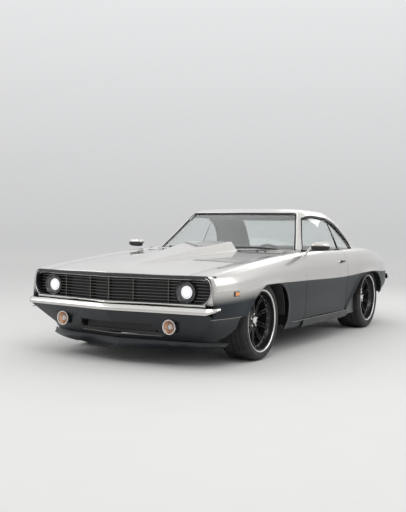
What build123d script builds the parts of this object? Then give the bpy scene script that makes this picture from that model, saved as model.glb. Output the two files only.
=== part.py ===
from build123d import *
import math
import os

os.makedirs("parts", exist_ok=True)

# Two-door muscle coupe, lowered on deep wheels. The nose points to -Y and the driver sits on the +X side.
# The wheels stand on Z = 0, and X = 0 is the middle of the car.

# Overall sizes
wheelbase = 2743
front_overhang = 930
rear_overhang = 1051
half_width = 940
roof_z = 1272
door_length = 1080
door_setback = 829
panel_gap = 6

nose_y = -(front_overhang + wheelbase + rear_overhang) / 2
tail_y = -nose_y
front_axle_y = nose_y + front_overhang
rear_axle_y = front_axle_y + wheelbase
door_front_y = front_axle_y + door_setback
door_rear_y = door_front_y + panel_gap + door_length

# Panels
skin = 10
jamb = 10
belt_front_z = 857
belt_rise = 0.0148
nose_sweep = 165
seam_z = 392
seat_gap = 0.3

# Wheels and tyres
front_tyre_radius = 320
front_tyre_width = 255
rear_tyre_radius = 335
rear_tyre_width = 295
lip_radius = 254
rim_bead_radius = 240
rim_well_radius = 222
front_face_inset = 43
rear_face_inset = 55
spoke_count = 10
kingpin_inset = 250
knuckle_foot_z = 237
knuckle_top_z = 438
disc_offset = 22
disc_sheet = 26

# Underside
floor_z = 197
floor_sheet = 16
sill_inset = 170
sill_top_z = 258
tub_wall = 6
front_house_clearance = 75
front_house_z = 300
front_house_wall_x = 446
rear_house_clearance = 50
rear_house_wall_x = 569
rail_x = 390
rail_width = 60
rail_z = 235
rail_height = 90

front_wheel_x = half_width - front_face_inset - front_tyre_width / 2
rear_wheel_x = half_width - rear_face_inset - rear_tyre_width / 2
kingpin_x = half_width - kingpin_inset
sill_inner_x = half_width - sill_inset
axle_end_x = rear_wheel_x - 90
front_house_radius = front_tyre_radius + front_house_clearance
rear_house_radius = rear_tyre_radius + rear_house_clearance
firewall_y = door_front_y - 45
nose_vee = nose_sweep / half_width


def belt_z(y):
    return belt_front_z + belt_rise * (y - door_front_y)


# Body side lines. Each row: offset in Y from its datum, then how far in from the widest
# point, and how high, the panel edge, shoulder, crease, skirt and foot lie. The edge and the
# shoulder are measured from the belt line, the rest from the ground.
fender_rows = [
    (-793, 267, -128, 122, -131, 72, 591, 70, 454, 86, 392),
    (-568, 256, -100, 102, -106, 25, 600, 28, 440, 40, 360),
    (-268, 244, -71, 94, -76, 5, 612, 12, 400, 40, 260),
    (0, 236, -49, 90, -52, 0, 620, 10, 360, 40, 215),
    (282, 228, -30, 88, -31, 0, 620, 15, 320, 50, 205),
    (532, 222, -16, 85, -15, 2, 617, 28, 280, 66, 203),
    (829, 216, -2, 82, 0, 4, 615, 34, 275, 70, 200),
]
quarter_rows = [
    (-828, 195, 0, 82, -1, 4, 613, 33, 300, 36, 265),
    (-411, 195, 0, 80, -1, 0, 630, 25, 300, 45, 265),
    (-211, 200, 0, 84, -2, 0, 638, 18, 320, 45, 280),
    (-21, 268, -1, 94, -7, 0, 640, 14, 350, 45, 310),
    (144, 276, -3, 112, -19, 6, 634, 16, 370, 45, 345),
    (289, 284, -12, 140, -34, 18, 626, 22, 400, 45, 372),
    (589, 308, -32, 187, -60, 55, 618, 62, 450, 90, 410),
    (889, 340, -54, 262, -78, 135, 618, 140, 480, 160, 435),
    (979, 352, -62, 290, -88, 170, 620, 172, 490, 190, 440),
]
# Greenhouse levels. Each row: share of the height from the belt to the roof, how far behind
# the door's front edge the front centre lies, (in from the widest, behind the door's front
# edge) of two corners, (in from the widest, behind the rear axle) of three, then the rear centre.
cabin_base_z = belt_front_z + 23
cabin_rows = [
    (0.000, 3, (170, 183), (118, 553), (114, -831), (135, -311), (225, -21), 114),
    (0.357, 208, (250, 338), (185, 603), (178, -831), (202, -381), (285, -181), -76),
    (0.727, 408, (330, 493), (268, 663), (258, -861), (278, -551), (340, -406), -291),
    (0.906, 528, (375, 583), (330, 703), (320, -891), (340, -691), (395, -571), -461),
    (0.974, 653, (470, 703), (440, 763), (430, -931), (450, -771), (520, -711), -591),
    (1.000, 803, (660, 823), (640, 853), (640, -951), (650, -871), (700, -831), -761),
]


def save(name, *solids):
    shapes = list(solids)
    export_step(shapes[0] if len(shapes) == 1 else Compound(children=shapes), f"parts/{name}.step")


def mirrored(solid):
    return solid.mirror(Plane.YZ)


def fused(first, *others):
    return first.fuse(*others).clean()


def box(x0, x1, y0, y1, z0, z1):
    return Solid.make_box(x1 - x0, y1 - y0, z1 - z0, Plane((x0, y0, z0)))


def drum(x0, x1, radius, y, z):
    """Cylinder along X."""
    return Solid.make_cylinder(radius, x1 - x0, Plane(origin=(x0, y, z), z_dir=(1, 0, 0)))


def pin_y(x, z, radius, y0, y1):
    """Cylinder along Y."""
    return Solid.make_cylinder(radius, y1 - y0, Plane(origin=(x, y0, z), z_dir=(0, 1, 0)))


def face_of(points):
    return Face(Wire.make_polygon([Vector(*p) for p in points], close=True))


def swept_x(outline, x0, x1):
    """Solid from a closed outline of (y, z) points, between two X planes."""
    return Solid.extrude(face_of([(x0, y, z) for y, z in outline]), Vector(x1 - x0, 0, 0))


def swept_y(outline, y0, y1):
    """Solid from a closed outline of (x, z) points, between two Y planes."""
    return Solid.extrude(face_of([(x, y0, z) for x, z in outline]), Vector(0, y1 - y0, 0))


def swept_z(outline, z0, z1):
    """Solid from a closed outline of (x, y) points, between two Z planes."""
    return Solid.extrude(face_of([(x, y, z0) for x, y in outline]), Vector(0, 0, z1 - z0))


def lofted_y(stations):
    """Ruled solid through closed outlines of (x, z) points, each at its own Y."""
    wires = [Wire.make_polygon([Vector(x, y, z) for x, z in outline], close=True) for y, outline in stations]
    return Solid.make_loft(wires, ruled=True)


def lofted_z(levels):
    """Ruled solid through closed outlines of (x, y) points, each at its own Z."""
    wires = [Wire.make_polygon([Vector(x, y, z) for x, y in outline], close=True) for z, outline in levels]
    return Solid.make_loft(wires, ruled=True)


def offset_line(points, distance, closed=False):
    """The line moved to its left by a distance, with mitred corners."""
    count = len(points)
    moved = []
    for i in range(count):
        before = points[i - 1] if (closed or i > 0) else None
        after = points[(i + 1) % count] if (closed or i < count - 1) else None
        here = points[i]
        normals = []
        for a, b in ((before, here), (here, after)):
            if a is not None and b is not None:
                dx, dy = b[0] - a[0], b[1] - a[1]
                size = math.hypot(dx, dy)
                normals.append((-dy / size, dx / size))
        nx = sum(n[0] for n in normals)
        ny = sum(n[1] for n in normals)
        scale = len(normals) * distance / (nx * nx + ny * ny)
        moved.append((here[0] + nx * scale, here[1] + ny * scale))
    return moved


def strip(points, thickness):
    """Closed outline of a sheet that follows a line and lies on its left."""
    return points + offset_line(points, thickness)[::-1]


def both_sides(points):
    """Closed outline from the half with X above 0, listed from the middle outward and back."""
    return points + [(-x, other) for x, other in reversed(points) if x > 0]


def side_line(rows, datum, y):
    """The five body lines at Y, and a point that rounds the side, as (x, z) from the top down."""
    stations = [row[0] + datum for row in rows]
    i = max(k for k in range(len(rows) - 1) if stations[k] <= y or k == 0)
    share = (y - stations[i]) / (stations[i + 1] - stations[i])
    values = [a + share * (b - a) for a, b in zip(rows[i][1:], rows[i + 1][1:])]
    raised = (belt_z(y), belt_z(y), 0, 0, 0)
    edge, shoulder, crease, skirt, foot = [
        (half_width - values[2 * k], values[2 * k + 1] + raised[k]) for k in range(5)
    ]
    flank = (
        shoulder[0] + 0.72 * (crease[0] - shoulder[0]),
        shoulder[1] + 0.42 * (crease[1] - shoulder[1]),
    )
    return [edge, shoulder, flank, crease, skirt, foot]


def fender_line(y):
    return side_line(fender_rows, front_axle_y, y)


def quarter_line(y):
    return side_line(quarter_rows, rear_axle_y, y)


def panel_band(line):
    """Closed outline of a body panel, its free top edge square to the gap beside it."""
    inner = offset_line(line, -skin)
    inner[0] = (line[0][0], line[0][1] - skin)
    return line + inner[::-1]


def inside_x(line, z):
    """How far out the inner face of a body side lies at a height."""
    inner = offset_line(line, -skin)
    for a, b in zip(inner, inner[1:]):
        if a[1] >= z >= b[1]:
            return a[0] + (b[0] - a[0]) * (a[1] - z) / (a[1] - b[1])
    return inner[-1][0]


def fender_stations():
    return [row[0] + front_axle_y for row in fender_rows]


def quarter_stations():
    first = door_rear_y + panel_gap
    return [first] + [row[0] + rear_axle_y for row in quarter_rows[1:]]


def side_hull(line_at, stations, inset):
    """Solid from the middle of the car out to the body side, less an inset."""
    outlines = []
    for y in stations:
        outer = offset_line(line_at(y), -inset)
        outlines.append((y, outer + [(0, outer[-1][1]), (0, outer[0][1])]))
    return lofted_y(outlines)


# Wheel openings in the side view: (offset from the axle, height)
front_arch = [
    (-640, 120), (-559, 226), (-455, 292), (-364, 372), (-271, 471), (-150, 563), (-55, 602), (60, 612),
    (250, 606), (325, 578), (380, 527), (418, 450), (428, 360), (430, 120),
]
rear_arch = [
    (-900, 120), (-747, 326), (-655, 405), (-484, 544), (-360, 600), (-256, 625), (-41, 632), (110, 618),
    (215, 578), (278, 500), (296, 400), (340, 368), (360, 120),
]


def arch_prism(points, axle_y, x0, x1):
    return swept_x([(axle_y + dy, z) for dy, z in points], x0, x1)


def front_fender():
    panel = lofted_y([(y, panel_band(fender_line(y))) for y in fender_stations()]) - nose_cut(nose_y + 22)
    hull = fender_line(door_front_y)
    inner = offset_line(hull, -skin / 2)[1:]
    plate = [(x, z) for x, z in inner] + [
        (sill_inner_x + 20, inner[-1][1]), (sill_inner_x + 20, inner[0][1]),
    ]
    panel = fused(panel, swept_y(plate, door_front_y - jamb, door_front_y))
    panel = panel - arch_prism(front_arch, front_axle_y, 600, half_width + 50)
    for z in hinge_heights:
        slot_z = hinge_half + panel_gap
        panel = panel - box(
            hinge_x - hinge_reach - 20, hinge_x + 20, door_front_y - jamb - 1, door_front_y + 1,
            z - slot_z, z + slot_z,
        )
    return panel - box(600, half_width + 50, nose_y, front_axle_y - 150, 0, seam_z)


def quarter_panel():
    stations = quarter_stations()
    panel = lofted_y([(y, panel_band(quarter_line(y))) for y in stations])
    start = stations[0]
    inner = offset_line(quarter_line(start), -skin / 2)
    wall_x = inner[0][0]
    plate = inner + [(wall_x, inner[-1][1])]
    trim_end = rear_axle_y - rear_house_radius
    panel = fused(
        panel,
        swept_y(plate, start, start + jamb),
        box(wall_x, wall_x + 12, start + jamb, trim_end, sill_top_z + 8, belt_z(start) - skin / 2),
    )
    return panel - arch_prism(rear_arch, rear_axle_y, 600, half_width + 50)


# Doors
door_foot_z = sill_top_z + 7
door_lining_x = half_width - 140


def door_line(y):
    front, rear = fender_line(door_front_y), quarter_line(door_rear_y + panel_gap)
    share = (y - door_front_y) / (door_length + 2 * panel_gap)
    line = [(a[0] + share * (b[0] - a[0]), a[1] + share * (b[1] - a[1])) for a, b in zip(front, rear)][1:]
    line[0] = (line[0][0], belt_z(y))
    line[3] = (half_width - 33, 300)
    line[4] = (half_width - 36, door_foot_z)
    return line


def door_shell():
    first = door_front_y + panel_gap
    spans = [
        (first, 0, 4), (first + 14, 0, skin), (first + 57, 1, skin), (first + door_length / 2, 1, skin),
        (door_rear_y - 37, 1, skin), (door_rear_y, 0, skin),
    ]
    outlines = []
    for y, depth, edge in spans:
        outer = door_line(y)
        thin = [(x - edge, z) for x, z in outer]
        inner = [(x + depth * (door_lining_x - x), z) for x, z in thin]
        outlines.append((y, outer + inner[::-1]))
    return fused(lofted_y(outlines), *hinge_straps())


hinge_x = half_width - 35
hinge_y = door_front_y - 87
hinge_heights = (467, 684)
hinge_half = 12
hinge_pin_radius = 3.5
hinge_eye = 6
hinge_reach = 80


def hinge_straps():
    """Arms that carry the door round the fender's rear edge, with an eye on the hinge line."""
    straps = []
    x_in = hinge_x - hinge_reach
    foot_y = door_front_y + panel_gap + 66
    for z in hinge_heights:
        outline = [
            (hinge_x, hinge_y - 5), (x_in - 5, hinge_y - 5), (x_in - 5, foot_y), (x_in + 5, foot_y),
            (x_in + 5, hinge_y + 5), (hinge_x, hinge_y + 5),
        ]
        arm = swept_z(outline, z - hinge_half, z + hinge_half)
        eye = Solid.make_cylinder(
            hinge_eye, 2 * hinge_half, Plane(origin=(hinge_x, hinge_y, z - hinge_half)),
        )
        bore = Solid.make_cylinder(
            hinge_pin_radius + seat_gap, 4 * hinge_half, Plane(origin=(hinge_x, hinge_y, z - 24)),
        )
        straps.append(fused(arm, eye) - bore)
    return straps


def hinge_brackets():
    """Leaves on the hinge pillar above and below each strap, with the pin between them."""
    brackets = []
    for z in hinge_heights:
        pin = Solid.make_cylinder(hinge_pin_radius, 4 * hinge_half, Plane(origin=(hinge_x, hinge_y, z - 24)))
        leaves = []
        for z0 in (z - 2 * hinge_half, z + hinge_half + seat_gap):
            leaves.append(swept_z([
                (hinge_x + 5, hinge_y - 9), (hinge_x + 5, hinge_y + 9), (
                    pillar_outer_x - 5, door_front_y - 15,
                ), (pillar_outer_x - 5, firewall_y),
            ], z0, z0 + hinge_half - seat_gap))
        brackets.append(fused(pin, *leaves))
    return brackets


def door_handle(y):
    x = half_width - 12
    return box(x - 12, x + 22, y - 75, y + 55, 752, 776)


def mirror():
    y, z = door_front_y + 103, belt_front_z + 48
    arm = lofted_z([
        (belt_z(y) + 0.8, [(-102, y - 22), (-60, y - 22), (-60, y + 22), (-102, y + 22)]),
        (z + 7, [(-25, y - 10), (10, y - 10), (10, y + 22), (-25, y + 22)]),
    ])
    head = lofted_y([
        (y - 45, [(5, z), (35, z - 20), (135, z - 17), (145, z + 10), (120, z + 33), (25, z + 40)]),
        (y - 10, [(-15, z), (15, z - 33), (152, z - 30), (164, z), (145, z + 43), (5, z + 55)]),
        (y + 35, [(-15, z + 3), (10, z - 30), (150, z - 28), (162, z), (140, z + 41), (5, z + 53)]),
    ])
    return fused(arm, head).moved(Location((half_width, 0, 0)))


# Greenhouse
def cabin_outline(row, inset, drop):
    share, front, c1, c2, c3, c4, c5, rear = row
    half = [(0, door_front_y + front)]
    half += [(half_width - dx, door_front_y + dy) for dx, dy in (c1, c2)]
    half += [(half_width - dx, rear_axle_y + dy) for dx, dy in (c3, c4, c5)]
    half += [(0, rear_axle_y + rear)]
    ring = both_sides(half)
    z = cabin_base_z + share * (roof_z - cabin_base_z) - drop
    return z, offset_line(ring, inset, closed=True)


def cabin_solid(inset, drop):
    return lofted_z([cabin_outline(row, inset, drop) for row in cabin_rows])


def above_belt(solid):
    """Cuts off what lies under the belt line at the sides and under the cowl in front."""
    y0, y1 = door_front_y - 100, rear_axle_y + 200
    below = swept_x([
        (y0, 500), (y1, 500), (y1, belt_z(y1) + seat_gap), (
            windscreen_foot_y, belt_z(windscreen_foot_y) + seat_gap,
        ),
        (windscreen_foot_y, cabin_base_z + seat_gap), (y0, cabin_base_z + seat_gap),
    ], -half_width, half_width)
    return solid - below


windscreen_foot_y = door_front_y + 243
side_glass_top = [(638, 87), (703, 72), (1081, 74), (1203, 112), (1353, 210), (1468, 327)]


def windscreen_prism():
    half = [(half_width - 215, cabin_base_z - 60), (half_width - 405, roof_z - 50)]
    outline = half + [(-x, z) for x, z in reversed(half)]
    return swept_y(outline, door_front_y - 150, door_front_y + 750)


def rear_window_prism():
    half = [(half_width - 280, cabin_base_z - 60), (half_width - 435, roof_z - 67)]
    outline = half + [(-x, z) for x, z in reversed(half)]
    return swept_y(outline, rear_axle_y - 610, rear_axle_y + 300)


def side_window_outline():
    top = [(door_front_y + dy, roof_z - drop) for dy, drop in side_glass_top]
    foot = [(door_front_y + 1503, belt_front_z - 17), (windscreen_foot_y + 8, belt_front_z - 17)]
    return top + foot


def side_window_prism(outline, x0=400, x1=1000):
    return swept_x(outline, x0, x1)


def greenhouse():
    wall = 30
    shell = cabin_solid(0, 0) - cabin_solid(wall, wall)
    shell = above_belt(shell)
    side = side_window_prism(side_window_outline())
    for window in (windscreen_prism(), rear_window_prism(), side, mirrored(side)):
        shell = shell - window
    return shell


def glazing():
    return above_belt(cabin_solid(10, 8) - cabin_solid(15, 12))


def only_solid(shape):
    """The largest solid of a cut or common shape."""
    return max(shape.solids(), key=lambda s: s.volume)


def side_panes(layer):
    outline = side_window_outline()
    gap_y = door_rear_y + panel_gap / 2
    inner = offset_line(outline, 7, closed=True)
    if inner[1][1] > outline[1][1]:
        inner = offset_line(outline, -7, closed=True)
    door_pane = side_window_prism(inner) - box(0, half_width, gap_y - 5, rear_axle_y, 0, 2000)
    rear_pane = side_window_prism(outline) - box(0, half_width, nose_y, gap_y + 5, 0, 2000)
    return only_solid(layer & door_pane), only_solid(layer & rear_pane)


# Hood and boot lid
hood_rear_y = door_front_y - 138
bulge_rows = [
    (-700, 45, 0), (-568, 60, 6), (-268, 110, 22), (0, 160, 38), (282, 215, 56), (532, 262, 72),
    (691, 290, 82),
]


def bulge_at(y):
    offset = y - front_axle_y
    rows = bulge_rows
    if offset <= rows[0][0]:
        return rows[0][1], 0
    i = max(k for k in range(len(rows) - 1) if rows[k][0] <= offset)
    share = min(1, (offset - rows[i][0]) / (rows[i + 1][0] - rows[i][0]))
    return [a + share * (b - a) for a, b in zip(rows[i][1:], rows[i + 1][1:])]


def hood_outline(y, sheet):
    line_y = max(y, fender_stations()[0])
    edge_x, edge_z = fender_line(line_y)[0]
    edge_x -= panel_gap
    edge_z -= 0.12 * max(0, line_y - y)
    crown = 14 + 8 * min(1, (y - nose_y) / 400)
    base_x, rise = bulge_at(y)
    upper = []
    for x, lift in ((0, rise), (0.78 * base_x, rise), (base_x, 0), (0.6 * edge_x, 0), (edge_x, 0)):
        upper.append((x, edge_z + lift + crown * (1 - (x / edge_x) ** 2)))
    lower = [(x, z - sheet) for x, z in reversed(upper)]
    return upper[::-1] + [(-x, z) for x, z in upper[1:]] + [(-x, z) for x, z in lower[:-1]] + lower[::-1]


def nose_cut(y_at_middle):
    """Everything ahead of the pointed nose line."""
    x = half_width + 60
    return swept_z([(0, y_at_middle), (x, y_at_middle + nose_vee * x), (x, nose_y - 300), (-x, nose_y - 300),
                    (-x, y_at_middle + nose_vee * x)], 0, 1200)


hood_hinge_y = hood_rear_y + 26
hood_hinge_z = belt_front_z - 33
hood_hinge_x = half_width - 285


def hood_hinge_bracket():
    x, y, z = hood_hinge_x, hood_hinge_y, hood_hinge_z
    arm = box(x - 24, x - 12 - seat_gap, y - 10, firewall_y + 1, z - 12, z + 10)
    return fused(arm, drum(x - 24, x + 12, 6, y, z))


def hood_hinge_arm():
    x, y, z = hood_hinge_x, hood_hinge_y, hood_hinge_z
    arm = box(x - 12, x + 12, y - 130, y, z - 10, z + 10)
    eye = drum(x - 12, x + 12, 12, y, z)
    return fused(arm, eye) - drum(x - 13, x + 13, 6 + seat_gap, y, z)


def hood():
    sheet = 22
    ys = [nose_y + 17] + fender_stations()[:-1] + [hood_rear_y]
    panel = lofted_y([(y, hood_outline(y, sheet)) for y in ys]) - nose_cut(nose_y + 22)
    arm = hood_hinge_arm()
    return fused(panel, arm, mirrored(arm))


boot_front_y = rear_axle_y + 147
boot_rear_y = rear_axle_y + 972
lid_sheet = 22


def boot_outline(y):
    edge_x, edge_z = quarter_line(y)[0]
    edge_x -= panel_gap
    upper = [(edge_x, edge_z), (0.5 * edge_x, edge_z + 11), (0, edge_z + 14)]
    full = upper + [(-x, z) for x, z in upper[-2::-1]]
    return full + [(x, z - lid_sheet) for x, z in reversed(full)]


lid_hinge_y = boot_front_y - 3
lid_hinge_z = quarter_line(boot_front_y)[0][1] + 4
lid_hinge_x = 500
lid_pin_radius = 2.7


def boot_lid():
    stations = [boot_front_y] + [
        y for y in quarter_stations() if boot_front_y < y < boot_rear_y
    ] + [boot_rear_y]
    lid = lofted_y([(y, boot_outline(y)) for y in stations])
    eye = drum(lid_hinge_x - 8, lid_hinge_x + 8, 5, lid_hinge_y, lid_hinge_z)
    bore = drum(lid_hinge_x - 9, lid_hinge_x + 9, lid_pin_radius + seat_gap, lid_hinge_y, lid_hinge_z)
    return fused(lid, eye, mirrored(eye)) - bore - mirrored(bore)


def lid_hinge_seat():
    y, z = lid_hinge_y, lid_hinge_z
    lugs = [box(x, x + 6, y - 11, y + 1, z - 8, z + 2) for x in (lid_hinge_x - 16, lid_hinge_x + 10)]
    return fused(drum(lid_hinge_x - 16, lid_hinge_x + 16, lid_pin_radius, y, z), *lugs)


# Fixed upper body
def cowl_panel():
    y0, y1, y2 = hood_rear_y + 30, door_front_y, windscreen_foot_y - 20
    half = [(fender_line(y1)[0][0] - 8, y0), (fender_line(y1)[0][0] - 6, y1 + 2), (half_width - 165, y1 + 5),
            (half_width - 165, y2)]
    outline = half + [(-x, y) for x, y in reversed(half)]
    top = cabin_base_z - seat_gap
    plate = swept_z(outline, cabin_base_z - 30, top)
    slope = swept_x(
        [(y0 - 5, cabin_base_z - 24), (y1, top), (y1, top + 70), (y0 - 5, top + 70)], -half_width,
        half_width,
    )
    return plate - slope


def deck_panel():
    x0, y0 = quarter_line(rear_axle_y - 21)[0][0] - 2, rear_axle_y - 60
    x1, y1 = quarter_line(boot_front_y)[0][0] - 2, boot_front_y - panel_gap
    outline = [(x0, y0), (x1, y1), (-x1, y1), (-x0, y0), (0, rear_axle_y + 90)]
    edge_x, edge_z = quarter_line(boot_front_y)[0]
    lid_under = edge_z - lid_sheet
    deck_z = cabin_base_z + 4
    drop = box(20 - edge_x, edge_x - 20, y1 - 20, y1, lid_under - 12, deck_z - 17)
    gutter = box(20 - edge_x, edge_x - 20, y1 - 20, boot_front_y + 18, lid_under - 12, lid_under - 1)
    plate = swept_z(outline, deck_z - 18, deck_z)
    notch = box(lid_hinge_x - 10, lid_hinge_x + 10, y1 - 4, y1 + 1, deck_z - 4, deck_z + 1)
    hinge = lid_hinge_seat()
    return fused(plate - notch - mirrored(notch), drop, gutter, hinge, mirrored(hinge))


tail_plate_y = rear_axle_y + 979
tail_plate = 22


def tail_lamps():
    lamps = []
    for i in range(3):
        x0 = 300 + i * 122
        lamps.append(box(x0, x0 + 112, tail_plate_y + 8, tail_plate_y + 25, 640, 712))
    return lamps + [mirrored(s) for s in lamps]


def tail_panel(lamps):
    line = quarter_line(tail_plate_y)
    rings = []
    for y, inset in ((tail_plate_y, 0), (tail_plate_y + tail_plate, 18)):
        side = [(x - inset, z) for x, z in line]
        rings.append((y, both_sides([(0, line[0][1] + 10)] + side + [(0, line[-1][1])])))
    plate = lofted_y(rings)
    for lamp in lamps:
        plate = plate - lamp
    return plate


def path_band(path, thickness, z0, z1):
    """Upright sheet along a half path of (x, y) points, mirrored to both sides."""
    full = [(-x, y) for x, y in reversed(path) if x > 0] + path
    return swept_z(strip(full, thickness), z0, z1)


def path_loft(low, high, thickness, z0, z1):
    rings = []
    for path, z in ((low, z0), (high, z1)):
        full = [(-x, y) for x, y in reversed(path) if x > 0] + path
        rings.append((z, strip(full, thickness)))
    return lofted_z(rings)


def half_path(points, datum_y, sense):
    """Path points given as (in from the widest, distance behind or ahead of the datum)."""
    return [(max(0, half_width - dx), datum_y + sense * dy) for dx, dy in points]


bumper_z = (425, 475)


def front_bumper():
    corner = nose_vee * (half_width - 140) - 42
    path = half_path([
        (half_width, 0), (140, corner), (70, corner - 1), (43, corner + 25), (29, corner + 71), (
            20, corner + 133,
        ),
    ], nose_y, 1)
    blade = path_band(path, 16, *bumper_z)
    for x in (rail_x, -rail_x):
        inner = nose_y + corner / (half_width - 140) * rail_x + 9
        blade = fused(blade, box(x - 20, x + 20, inner, nose_y + 215, 432, bumper_z[1]))
    return blade


def rear_bumper():
    path = half_path([(half_width, 0), (340, 8), (190, 20), (110, 92), (92, 197)], tail_y, -1)
    blade = path_band(path, -16, 500, 575)
    for x in (rail_x, -rail_x):
        blade = fused(blade, box(x - 20, x + 20, tail_plate_y + tail_plate, tail_y - 10, 520, 556))
    return blade


def rear_valance():
    path = half_path([(half_width, 44), (320, 54), (210, 94), (166, 212), (146, 312)], tail_y, -1)
    return path_band(path, -12, 345, quarter_line(tail_plate_y)[-1][1])


grille_top_z = belt_front_z - 185
grille_foot_z = 494


def vee_band(x, y, depth, z0, z1):
    """Bar along the pointed nose line, x wide each way, its middle at Y."""
    s = nose_vee * x
    return swept_z(
        [(0, y), (x, y + s), (x, y + s + depth), (0, y + depth), (-x, y + s + depth), (-x, y + s)], z0,
        z1,
    )


def nose_panel():
    x_low, x_top = half_width - 96, half_width - 137
    top = grille_top_z + 3
    outer = both_sides([(0, top), (x_top, top), (x_low, 600), (x_low, 480), (0, 480)])
    inner_x = half_width - 104
    inner = both_sides([
        (0, grille_top_z), (x_top - 3, grille_top_z), (inner_x, 600), (inner_x, grille_foot_z),
        (0, grille_foot_z),
    ])
    ring = swept_y(outer, nose_y, nose_y + 300) - swept_y(inner, nose_y - 1, nose_y + 301)
    band = vee_band(half_width, nose_y + 26, 70, 400, 760)
    shelf = vee_band(half_width - 160, nose_y + 24, 50, bumper_z[1] + seat_gap, 480)
    tab_y = nose_y + nose_vee * x_low + 42
    tabs = []
    for side in (1, -1):
        x0, x1 = sorted((side * (x_low - 8), side * (inside_x(fender_line(tab_y), 530) - seat_gap)))
        tabs.append(box(x0, x1, tab_y, tab_y + 25, 520, 540))
    return fused(only_solid(ring & band), shelf, *tabs)


lamp_x = half_width - 307
lamp_z = 582
lamp_radius = 84
lamp_y = nose_y + nose_vee * (half_width - 307) + 50


def grille():
    x = half_width - 105
    back = nose_y + 86
    top_x = half_width - 142
    plate = vee_band(x, back, 8, grille_foot_z, 600)
    upper = vee_band(top_x, back, 8, 600, grille_top_z)
    bars = [vee_band(lamp_x - lamp_radius - 12, back - 22, 23, z, z + 7) for z in range(512, 660, 23)]
    posts = []
    for x in (-450, -360, 360, 450):
        y = back + nose_vee * abs(x)
        posts.append(box(x - 5, x + 5, y - 20, y + 3, grille_foot_z, grille_top_z))
    whole = fused(plate, upper, *bars, *posts)
    for side in (1, -1):
        whole = whole - pin_y(side * lamp_x, lamp_z, lamp_radius - 4, nose_y, nose_y + 400)
    return whole


fog_x = half_width - 430
fog_z = 318
fog_radius = 50


def front_lamps():
    lamps = []
    for side in (1, -1):
        head = pin_y(side * lamp_x, lamp_z, lamp_radius - 4, lamp_y, lamp_y + 95)
        rim_ring = pin_y(side * lamp_x, lamp_z, lamp_radius, lamp_y - 6, lamp_y + 12)
        bowl = pin_y(side * lamp_x, lamp_z, lamp_radius - 14, lamp_y - 7, lamp_y + 22)
        lens = pin_y(side * lamp_x, lamp_z, 34, lamp_y + 4, lamp_y + 30)
        lamps.append(fused(fused(head, rim_ring) - bowl, lens))
        fog_y = nose_y + 147
        lamps.append(pin_y(side * fog_x, fog_z, fog_radius, fog_y, fog_y + 65))
    return lamps


def side_marker():
    y = front_axle_y - 508
    x = fender_line(y)[3][0]
    return box(x - 16, x + 3, y - 32, y + 32, 556, 584)


valance_foot_z = 192


def front_valance(lamps):
    low = half_path([(half_width, 208), (380, 228), (260, 272), (190, 330), (135, 390), (80, 450)], nose_y, 1)
    high = half_path([(half_width, 24), (160, 116), (84, 136), (58, 242), (36, 402), (24, 532)], nose_y, 1)
    skirt = path_loft(low, high, 12, valance_foot_z, bumper_z[0] - 4)
    for side in (1, -1):
        x0, x1 = sorted((side * (half_width - 98), side * (half_width + 60)))
        skirt = skirt - box(x0, x1, nose_y, front_axle_y, seam_z - seat_gap, 500)
        x0, x1 = sorted((side * 600, side * (half_width + 50)))
        skirt = skirt - arch_prism(front_arch, front_axle_y, x0, x1)
    mouth = [(-350, 330), (-400, 230), (400, 230), (350, 330)]
    skirt = skirt - swept_y(mouth, nose_y - 50, nose_y + 300)
    for lamp in lamps:
        skirt = skirt - lamp
    return skirt


def chin_spoiler():
    low = half_path([(half_width, 157), (500, 180), (300, 240), (215, 288), (150, 345), (112, 385)], nose_y, 1)
    high = half_path([(half_width, 201), (380, 221), (260, 265), (190, 323), (135, 383), (95, 425)], nose_y, 1)
    lip = path_loft(low, high, 26, 112, valance_foot_z)
    wedge = [(120, 104), (1000, 104), (1000, 172), (760, 150), (420, 130)]
    for outline in (wedge, [(-x, z) for x, z in wedge]):
        lip = lip - swept_y(outline, nose_y - 50, front_axle_y)
    return lip


def sill():
    y0, y1 = door_front_y + 5, rear_axle_y - 720
    top, foot = sill_top_z, 182
    x = half_width - 35
    outline = [(x, top), (x - 12, 205), (x - 36, foot), (sill_inner_x, foot), (sill_inner_x, top)]
    return swept_y(outline, y0, y1)


# Underbody
seat_riser = [(-573, 0), (-531, 130), (-400, 146)]
kick_z = rear_tyre_radius + 212
axle_floor = [
    (-400, 146), (-291, 160), (-211, kick_z - floor_z), (239, kick_z - floor_z), (369, 180), (978, 180),
]
tunnel_half = 150
prop_shaft_z = 335
tunnel_top = rear_tyre_radius + 85
pillar_outer_x = half_width - 155
pillar_top_z = belt_front_z - 17


def floor_line(points):
    return [(rear_axle_y + dy, floor_z + dz) for dy, dz in points]


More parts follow.
